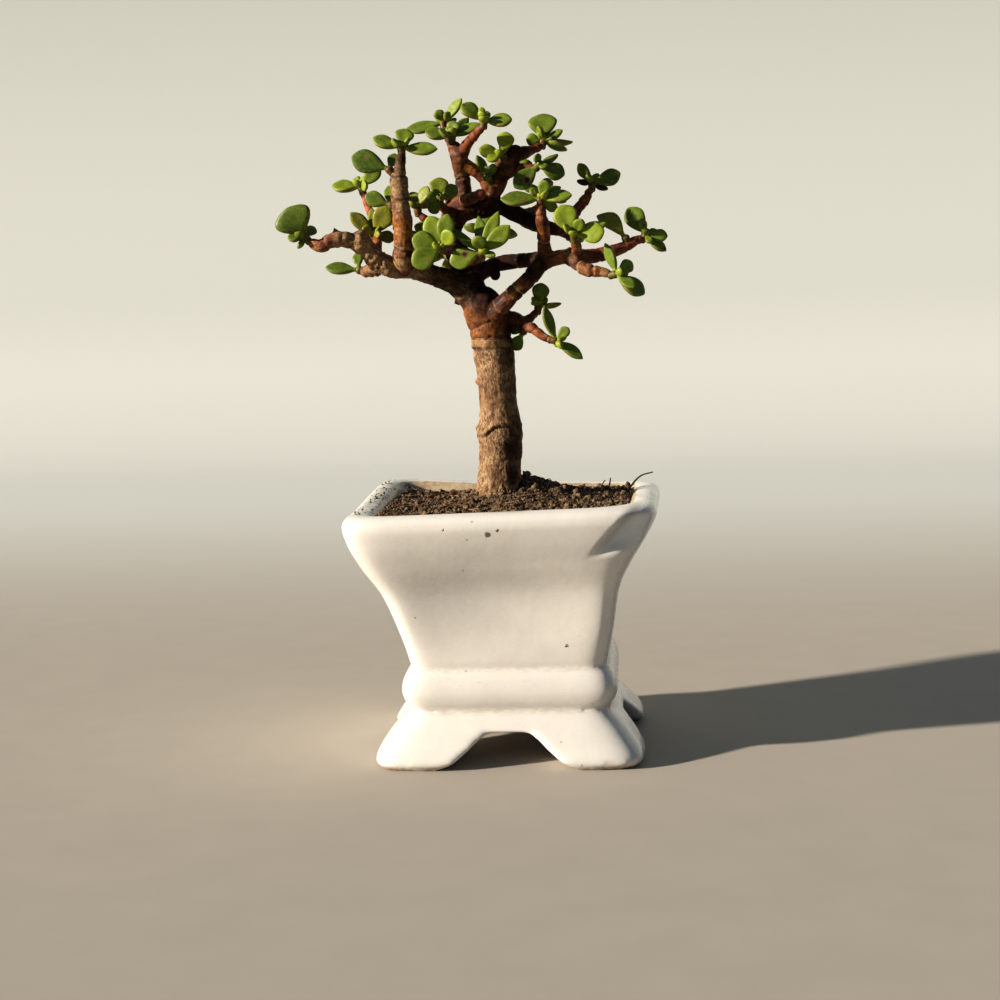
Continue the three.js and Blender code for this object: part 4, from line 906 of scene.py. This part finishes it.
def shoot(name, at, axis, age, olive, leaves):
    """A leafy stem end as one object, with the numbers that colour it."""
    seat, up = np.array(at, float), unit(axis)
    middle = seat + up * STEM_RISE
    random = np.random.default_rng(sum(ord(c) * (i + 3) for i, c in enumerate(name)))
    path, _ = smooth_path([seat - up * 1.2, seat, middle, middle + up * 0.9], 12)
    stem, _, _ = tube(path, STEM_RADII, 12)
    zero = np.zeros(len(stem[0]))
    parts, facts = [stem], [(zero, zero, zero + 0.4, zero + 1, zero)]
    for number, (dx, dy, dz, width, face), start in leaf_rows(name, leaves, up, random):
        tip = seat + np.array((dx, dy, dz), float)
        root = middle + unit(tip - middle) * start
        twist, sway = random.uniform(-0.16, 0.16), random.uniform(-0.03, 0.03)
        if name == "arch_leaf":
            sway = ARCH_LEAF_BOW
        skin, faces, t, u, top = leaf(root, tip, width, FACES.get(face, face), twist, sway)
        length = np.linalg.norm(tip - root)
        scar = np.zeros(len(skin))
        for _, along, across, reach in (row for row in SCARS.get(name, ()) if row[0] == number):
            away = np.hypot((t - along) * length, (u - across) * width / 2)
            seen = (top > -0.2) | (reach > 3)
            scar = np.maximum(scar, limited(1.5 - away / reach) * seen)
        old = age + 0.035 * (length - 9) + random.uniform(-0.16, 0.16) if number >= 0 else age - 0.25
        zero = np.zeros(len(skin))
        parts.append((skin, faces))
        facts.append((t, u, zero + min(max(old, 0), 1), zero, scar))
    numbers = [np.concatenate(column) for column in zip(*facts)]
    numbers = dict(zip(("t", "u", "age", "kind", "scar"), numbers))
    points, polygons = joined(parts)
    numbers["olive"] = np.full(len(points), olive)
    piece(new_object("leaves_" + name, points, polygons, leaf_look(), numbers), "leaf", "shoot_" + name)


def model_leaves():
    for name, (at, axis, (age, olive), *leaves) in SHOOTS.items():
        shoot(name, at, axis, age, olive, leaves)
    for name, (at, axis, (roll, size)) in PAIRED_SHOOTS.items():
        shoot(name, at, axis, *PAIRED_TONE, paired_leaves(axis, roll, size))

# ---------------------------------------------------------------- materials

class Value:
    """What a node gives out, to be reckoned with as a number is."""

    def __init__(self, look, socket):
        self.look, self.socket = look, socket

    def math(self, operation, a, b=0.5):
        return self.look.add("Math", {0: a, 1: b}, operation=operation)

    def __add__(self, other):
        return self.math("ADD", self, other)

    def __sub__(self, other):
        return self.math("SUBTRACT", self, other)

    def __rsub__(self, other):
        return self.math("SUBTRACT", other, self)

    def __mul__(self, other):
        return self.math("MULTIPLY", self, other)

    def __abs__(self):
        return self.math("ABSOLUTE", self)

    def larger(self, other):
        return self.math("MAXIMUM", self, other)

    def limited(self):
        """Kept between 0 and 1."""
        self.socket.node.use_clamp = True
        return self

    def span(self, low, high, to_low=0.0, to_high=1.0):
        """A smooth step from one number to another, as this goes from low to high."""
        return self.look.add("MapRange", dict(enumerate((self, low, high, to_low, to_high))),
                             interpolation_type="SMOOTHSTEP")


class Look:
    """A node material in the making, whose colour is painted layer by layer.

    Its noise lies in the object's millimetres, or in what "here" is set to.
    """

    def __init__(self, name, **inputs):
        self.material = bpy.data.materials.new(name)
        self.material.use_nodes = True
        self.tree = self.material.node_tree
        self.shader = self.tree.nodes["Principled BSDF"]
        for key, value in inputs.items():
            self.put(self.shader.inputs[key.replace("_", " ")], value)
        where = self.add("TexCoord", {}, "Object")
        self.spot = self.here = self.add("VectorMath", {0: where, "Scale": 1000.0}, operation="SCALE")

    def put(self, socket, value):
        """Links a value to a socket, or sets the socket to a plain number, vector or colour."""
        if isinstance(value, Value):
            self.tree.links.new(value.socket, socket)
        else:
            socket.default_value = (*value, 1) if socket.type == "RGBA" else value

    def add(self, kind, inputs, output=0, **settings):
        """What one output of a new node gives."""
        node = self.tree.nodes.new("ShaderNode" + kind)
        for key, value in settings.items():
            setattr(node, key, value)
        for key, value in inputs.items():
            self.put(node.inputs[key], value)
        return Value(self, node.outputs[output])

    def number(self, name):
        return self.add("Attribute", {}, "Fac", attribute_name=name)

    def vector(self, name):
        return self.add("Attribute", {}, "Vector", attribute_name=name)

    def parts(self, vector):
        """A vector's three numbers."""
        node = self.add("SeparateXYZ", {0: vector}).socket.node
        return [Value(self, output) for output in node.outputs]

    def stretch(self, across, along):
        """The noise's place, drawn out along the third axis where its scale is small."""
        return self.add("Mapping", {"Vector": self.here, "Scale": (across, across, along)})

    def noise(self, scale, detail=3.0, roughness=0.55, at=None):
        inputs = {"Vector": at or self.here, "Scale": scale, "Detail": detail, "Roughness": roughness}
        return self.add("TexNoise", inputs)

    def cells(self, scale, output="Distance"):
        return self.add("TexVoronoi", {"Vector": self.spot, "Scale": scale}, output)

    def mix(self, share, a, b):
        return self.add("Mix", {0: share, 6: a, 7: b}, 2, data_type="RGBA")

    def paint(self, share, colour):
        self.colour = self.mix(share, self.colour, colour)

    def bump(self, height, strength, distance):
        """Adds relief on top of what the shader has."""
        normal = self.shader.inputs["Normal"]
        before = {"Normal": Value(self, normal.links[0].from_socket)} if normal.is_linked else {}
        relief = {"Height": height, "Strength": strength, "Distance": distance, **before}
        self.put(normal, self.add("Bump", relief))

    def done(self, roughness):
        self.put(self.shader.inputs["Base Color"], self.colour)
        self.put(self.shader.inputs["Roughness"], roughness)
        return self.material


@cache
def floor_look():
    look = Look("floor_paper")
    _, back, height = look.parts(look.spot)
    look.colour = look.mix(look.noise(0.05, 2), (0.37, 0.335, 0.285), (0.41, 0.37, 0.315))
    look.paint(back.span(120, 700), (0.54, 0.55, 0.52))
    look.paint(height.span(60, 160), (0.48, 0.495, 0.465))
    return look.done(0.9)


@cache
def glaze_look():
    look = Look("ivory_glaze", IOR=1.5, Coat_Weight=0.5, Coat_Roughness=0.12)
    _, _, z = look.parts(look.spot)
    # the glaze pools thicker and cooler in places
    look.colour = look.mix(look.noise(0.035).span(0.35, 0.7), (0.715, 0.685, 0.625), (0.645, 0.62, 0.575))
    look.paint(look.noise(0.12, 5, 0.65).span(0.52, 0.75) * 0.35, (0.66, 0.60, 0.50))
    # dust and water marks in the groove over the feet and along the ring's edges
    groove = z.span(18.2, 16.4) * z.span(14.0, 16.0)
    edge = z.span(27.2, 28.4) * z.span(30.5, 28.6)
    grime = groove.larger(edge * 0.8) * look.noise(0.8, 5, 0.7, look.stretch(0.5, 1.6)).span(0.38, 0.68)
    look.paint(grime * 0.4, (0.34, 0.26, 0.17))
    # painted shade along the crease by the knock, and painted blue-grey shade and sky reflection on the
    # pressed face beside it
    look.paint(look.number("groove") * 0.7, (0.26, 0.25, 0.24))
    look.paint(look.number("pressed") * 0.6, (0.56, 0.63, 0.68))
    # bare feet, stained where they stand
    look.paint(z.span(2.2, 0.6) * look.noise(0.35, 4).span(0.3, 0.6) * 0.8, (0.30, 0.19, 0.09))
    # scuffs along the ring's face
    scuff = look.noise(1.1, 4, 0.7, look.stretch(0.25, 2.4)).span(0.60, 0.68)
    look.paint(z.span(22.5, 24.5) * z.span(27.5, 25.5) * scuff * 0.55, (0.42, 0.30, 0.20))
    # pinholes and specks fired into the glaze
    speck = look.cells(0.16).span(0.075, 0.03) * look.noise(0.06, 1).span(0.5, 0.6)
    look.paint(speck * 0.7, (0.26, 0.19, 0.13))
    # chips through to the body
    chip = (look.number("chip") + look.noise(2.6, 5, 0.7) * 1.4).span(1.05, 1.2)
    look.paint(chip, (0.16, 0.12, 0.09))
    # bare, earth stained clay inside the wall
    inside = (look.number("inside") + look.noise(0.35, 4) * 0.7).span(0.85, 1.1)
    clay = look.mix(look.noise(0.5, 5, 0.7).span(0.35, 0.65), (0.52, 0.42, 0.28), (0.36, 0.27, 0.16))
    look.paint(inside, clay)
    # the worn lip on the left: scraped grey, with soil caught in it
    worn = look.number("worn") * look.noise(0.4, 5, 0.75).span(0.40, 0.58)
    look.paint(worn * 0.75, (0.47, 0.49, 0.42))
    look.paint(look.number("worn") * look.noise(0.42, 4, 0.65).span(0.56, 0.59), (0.035, 0.025, 0.018))
    look.bump(look.noise(0.2, 2), 0.10, 0.0006)
    look.bump(look.noise(1.8), 0.02, 0.0002)
    look.bump(1.0 - chip, 0.5, 0.0004)
    dull = worn.larger(inside).larger(grime) * 0.4
    return look.done((look.noise(0.2, 4).span(0.3, 0.8, 0.22, 0.40) + dull).limited())


@cache
def soil_look():
    look = Look("potting_mix", IOR=1.3)
    lumps = look.noise(0.55, 6, 0.7)
    look.colour = look.mix(lumps.span(0.35, 0.65), (0.032, 0.019, 0.011), (0.19, 0.123, 0.072))
    bits = look.add("SeparateColor", {0: look.cells(1.1, "Color")})
    look.paint(bits.span(0.80, 0.9) * 0.4, (0.38, 0.27, 0.16))
    look.paint(look.number("tone").span(0.55, 1.0) * 0.5, (0.30, 0.205, 0.12))
    look.bump(look.noise(1.6, 6, 0.75), 0.9, 0.0006)
    return look.done(lumps.span(0.3, 0.7, 0.98, 0.82))


@cache
def grit_look():
    look = Look("pale_grit", IOR=1.5)
    look.colour = look.mix(look.number("tone"), (0.30, 0.22, 0.14), (0.10, 0.065, 0.038))
    look.paint(look.noise(2.5, 4).span(0.45, 0.75), (0.42, 0.35, 0.26))
    look.bump(look.noise(3.0), 0.4, 0.0003)
    return look.done(look.noise(1.5).span(0.3, 0.7, 0.5, 0.85))


@cache
def straw_look():
    look = Look("dry_straw")
    look.colour = look.mix(look.number("tone"), (0.40, 0.22, 0.09), (0.17, 0.085, 0.04))
    look.paint(look.noise(1.2, 4).span(0.45, 0.7), (0.10, 0.05, 0.025))
    look.bump(look.noise(3.0), 0.5, 0.0002)
    return look.done(look.noise(2.0).span(0.3, 0.7, 0.55, 0.8))


@cache
def bark_look():
    look = Look("jade_bark", IOR=1.28, Coat_Weight=0.04, Coat_Roughness=0.3)
    look.here = look.vector("grain")
    red, flaky, young = look.parts(look.vector("bark"))
    pale, dark, crack = look.parts(look.vector("tone"))
    patches = look.noise(0.32, 5, 0.65)
    # smooth bark: maroon and red brown, orange where light comes through, ochre on the tan limbs
    maroon = look.mix(patches.span(0.40, 0.52), (0.022, 0.006, 0.004), (0.11, 0.024, 0.009))
    maroon = look.mix(patches.span(0.54, 0.66), maroon, (0.25, 0.085, 0.020))
    ochre = look.mix(patches.span(0.36, 0.62), (0.075, 0.032, 0.012), (0.25, 0.150, 0.070))
    look.colour = look.mix(red, ochre, maroon)
    amber = look.mix(look.noise(0.8, 4).span(0.40, 0.60), (0.15, 0.042, 0.008), (0.36, 0.145, 0.022))
    look.paint(look.number("amber") * 0.9, amber)
    look.paint(look.noise(1.5, 3, 0.6, look.stretch(1, 0.13)).span(0.43, 0.37) * 0.55, (0.05, 0.011, 0.005))
    # tan grey flaky bark
    flakes = look.noise(1.7, 6, 0.72, look.stretch(1, 0.42))
    old = look.mix(flakes.span(0.38, 0.60), (0.085, 0.045, 0.022), (0.375, 0.235, 0.126))
    old = look.mix(look.noise(0.20, 4, at=look.spot).span(0.46, 0.62) * 0.6, old, (0.14, 0.065, 0.028))
    look.paint((flaky + look.noise(0.35) * 0.6).span(0.62, 1.0), old)
    # pink red young wood
    look.paint(young, look.mix(look.noise(0.6).span(0.35, 0.65), (0.24, 0.030, 0.018), (0.38, 0.13, 0.050)))
    # pale corky blotches and rings, dark cracks, and painted shade: near-black over the crown's core, the
    # trunk's right side and under the limbs
    cork = look.mix(look.noise(1.6, 5, 0.7).span(0.36, 0.60), (0.14, 0.072, 0.028), (0.37, 0.235, 0.105))
    look.paint((pale + look.noise(0.9, 4) * 0.5).span(0.62, 0.95) * 0.85, cork)
    fissure = look.noise(2.2, 5, 0.7, look.stretch(1, 0.2)).span(0.44, 0.37) * flaky.span(0.2, 0.8)
    look.paint(crack.larger(fissure * 0.7) * 0.85, (0.014, 0.006, 0.003))
    # painted shade, near-black
    look.paint(dark * 0.86, (0.010, 0.004, 0.003))
    # pale threads and lichen dust, where the bark is flaky and not under the painted shade
    dry = flaky * (1.0 - dark)
    winding = look.noise(1.2, 3, 0.6, look.stretch(1, 0.25))
    thread = abs(winding - 0.5).span(0.022, 0.008) * dry * patches.span(0.40, 0.55)
    look.paint(thread * 0.75, (0.52, 0.38, 0.22))
    look.paint(look.noise(1.9, 4, 0.7, look.spot).span(0.58, 0.70) * dry * 0.45, (0.42, 0.30, 0.18))
    look.bump(flakes, 0.5, 0.0005)
    look.bump(look.noise(2.6, 5, 0.7), 0.35, 0.0003)
    # rougher under the painted shade, so that it shows no sheen
    dull = (flaky * 0.45).larger(dark * 0.4)
    return look.done((look.noise(0.7).span(0.3, 0.7, 0.38, 0.60) + dull).limited())


@cache
def leaf_look():
    look = Look("jade_leaf", IOR=1.36, Subsurface_Radius=(0.7, 1.0, 0.2), Subsurface_Scale=0.0009,
                Subsurface_Weight=0.12, Coat_Weight=0.06, Coat_Roughness=0.35)
    t, u, scar = (look.number(key) for key in ("t", "u", "scar"))
    age = (look.number("age") + (look.noise(0.18) - 0.5) * 0.35).limited()
    look.colour = look.mix(age.span(0.0, 0.5), (0.265, 0.325, 0.022), (0.122, 0.172, 0.013))
    look.paint(age.span(0.45, 1.0), (0.042, 0.076, 0.008))
    # yellow green towards the root, mottled lighter and darker
    look.paint(t.span(0.34, 0.05, 0, 0.4), (0.26, 0.31, 0.030))
    look.paint(look.noise(1.3, 4, 0.6).span(0.42, 0.64) * 0.30, (0.23, 0.30, 0.032))
    look.paint(look.noise(0.55, 4, 0.6).span(0.58, 0.42) * 0.30, (0.045, 0.075, 0.012))
    # olive leaves with brown and yellow freckles
    tired = look.mix(look.noise(2.2, 4, 0.7).span(0.50, 0.60), (0.22, 0.20, 0.018), (0.10, 0.075, 0.010))
    look.paint(look.number("olive") * 0.65, tired)
    # thin darker, slightly red rim
    rim = abs(u).span(0.90, 1.0).larger(t.span(0.972, 0.995)) * t.span(0.15, 0.4)
    look.paint(rim * 0.55, (0.16, 0.075, 0.025))
    # fine pale dots of water pores
    pore = look.cells(1.7).span(0.20, 0.08)
    look.paint(pore * 0.16, (0.40, 0.48, 0.12))
    # scars, darkest in the middle and ragged at the edge, and the stem's own colour
    brown = look.mix(scar.span(0.4, 0.9), (0.20, 0.11, 0.04), (0.035, 0.016, 0.008))
    look.paint((scar + look.noise(1.5, 4) * 0.9).span(0.65, 0.95) * scar.span(0.0, 0.1), brown)
    stem = look.mix(look.noise(0.9).span(0.4, 0.6), (0.11, 0.028, 0.012), (0.10, 0.11, 0.016))
    look.paint(look.number("kind"), stem)
    look.bump(1.0 - pore, 0.12, 0.0001)
    look.bump(look.noise(0.8), 0.22, 0.0004)
    return look.done((look.noise(0.9, 4).span(0.3, 0.7, 0.42, 0.56) + scar * 0.3).limited())

# ---------------------------------------------------------------- the whole scene

def set_camera():
    """The camera that the photograph was taken with, as fitted from the pot's corners."""
    camera = linked("camera", bpy.data.cameras.new("camera"))
    camera.data.sensor_width = SENSOR_WIDTH
    camera.data.lens = SENSOR_WIDTH * FOCAL_PIXELS / IMAGE_WIDTH
    camera.data.clip_start = 0.01
    turns = ((CAMERA_YAW, "Z"), (math.pi / 2 - CAMERA_PITCH, "X"), (CAMERA_ROLL, "Z"))
    yaw, pitch, roll = (Matrix.Rotation(angle, 4, axis) for angle, axis in turns)
    camera.matrix_world = Matrix.Translation(Vector(place(CAMERA_AT))) @ yaw @ pitch @ roll
    bpy.context.scene.camera = camera


def set_stage():
    """A pale floor that curves up into a backdrop, a warm low key from the left, and a soft fill."""
    a, e = KEY_AZIMUTH, KEY_ELEVATION
    key = linked("key", bpy.data.lights.new("key", "SUN"))
    key.data.angle, key.data.energy, key.data.color = KEY_ANGLE, KEY_POWER, KEY_COLOUR
    way = Vector((math.sin(a) * math.cos(e), -math.cos(a) * math.cos(e), math.sin(e)))
    key.rotation_euler = way.to_track_quat("Z", "Y").to_euler()
    world = bpy.data.worlds.new("studio")
    world.use_nodes = True
    sky = world.node_tree.nodes["Background"].inputs
    sky["Color"].default_value, sky["Strength"].default_value = SKY_COLOUR, SKY_POWER
    bpy.context.scene.world = world
    bpy.context.scene.view_settings.view_transform = "Standard"
    bpy.context.scene.view_settings.look = "Medium High Contrast"
    bend = [(FLOOR_BACK + FLOOR_BEND * math.sin(t), FLOOR_BEND - FLOOR_BEND * math.cos(t))
            for t in np.linspace(0, math.pi / 2, 17)]
    line = [(FLOOR_FRONT, 0), *bend, (FLOOR_BACK + FLOOR_BEND, BACKDROP_TOP)]
    points = np.array([(x, y, z) for x in (-FLOOR_HALF_WIDTH, FLOOR_HALF_WIDTH) for y, z in line])
    i = np.arange(len(line) - 1)
    strips = np.stack([i, i + len(line), i + len(line) + 1, i + 1], 1)
    floor = new_object("floor", points, [strips], floor_look())


set_camera()
set_stage()
model_pot()
model_soil()
model_litter()
model_wood()
model_leaves()
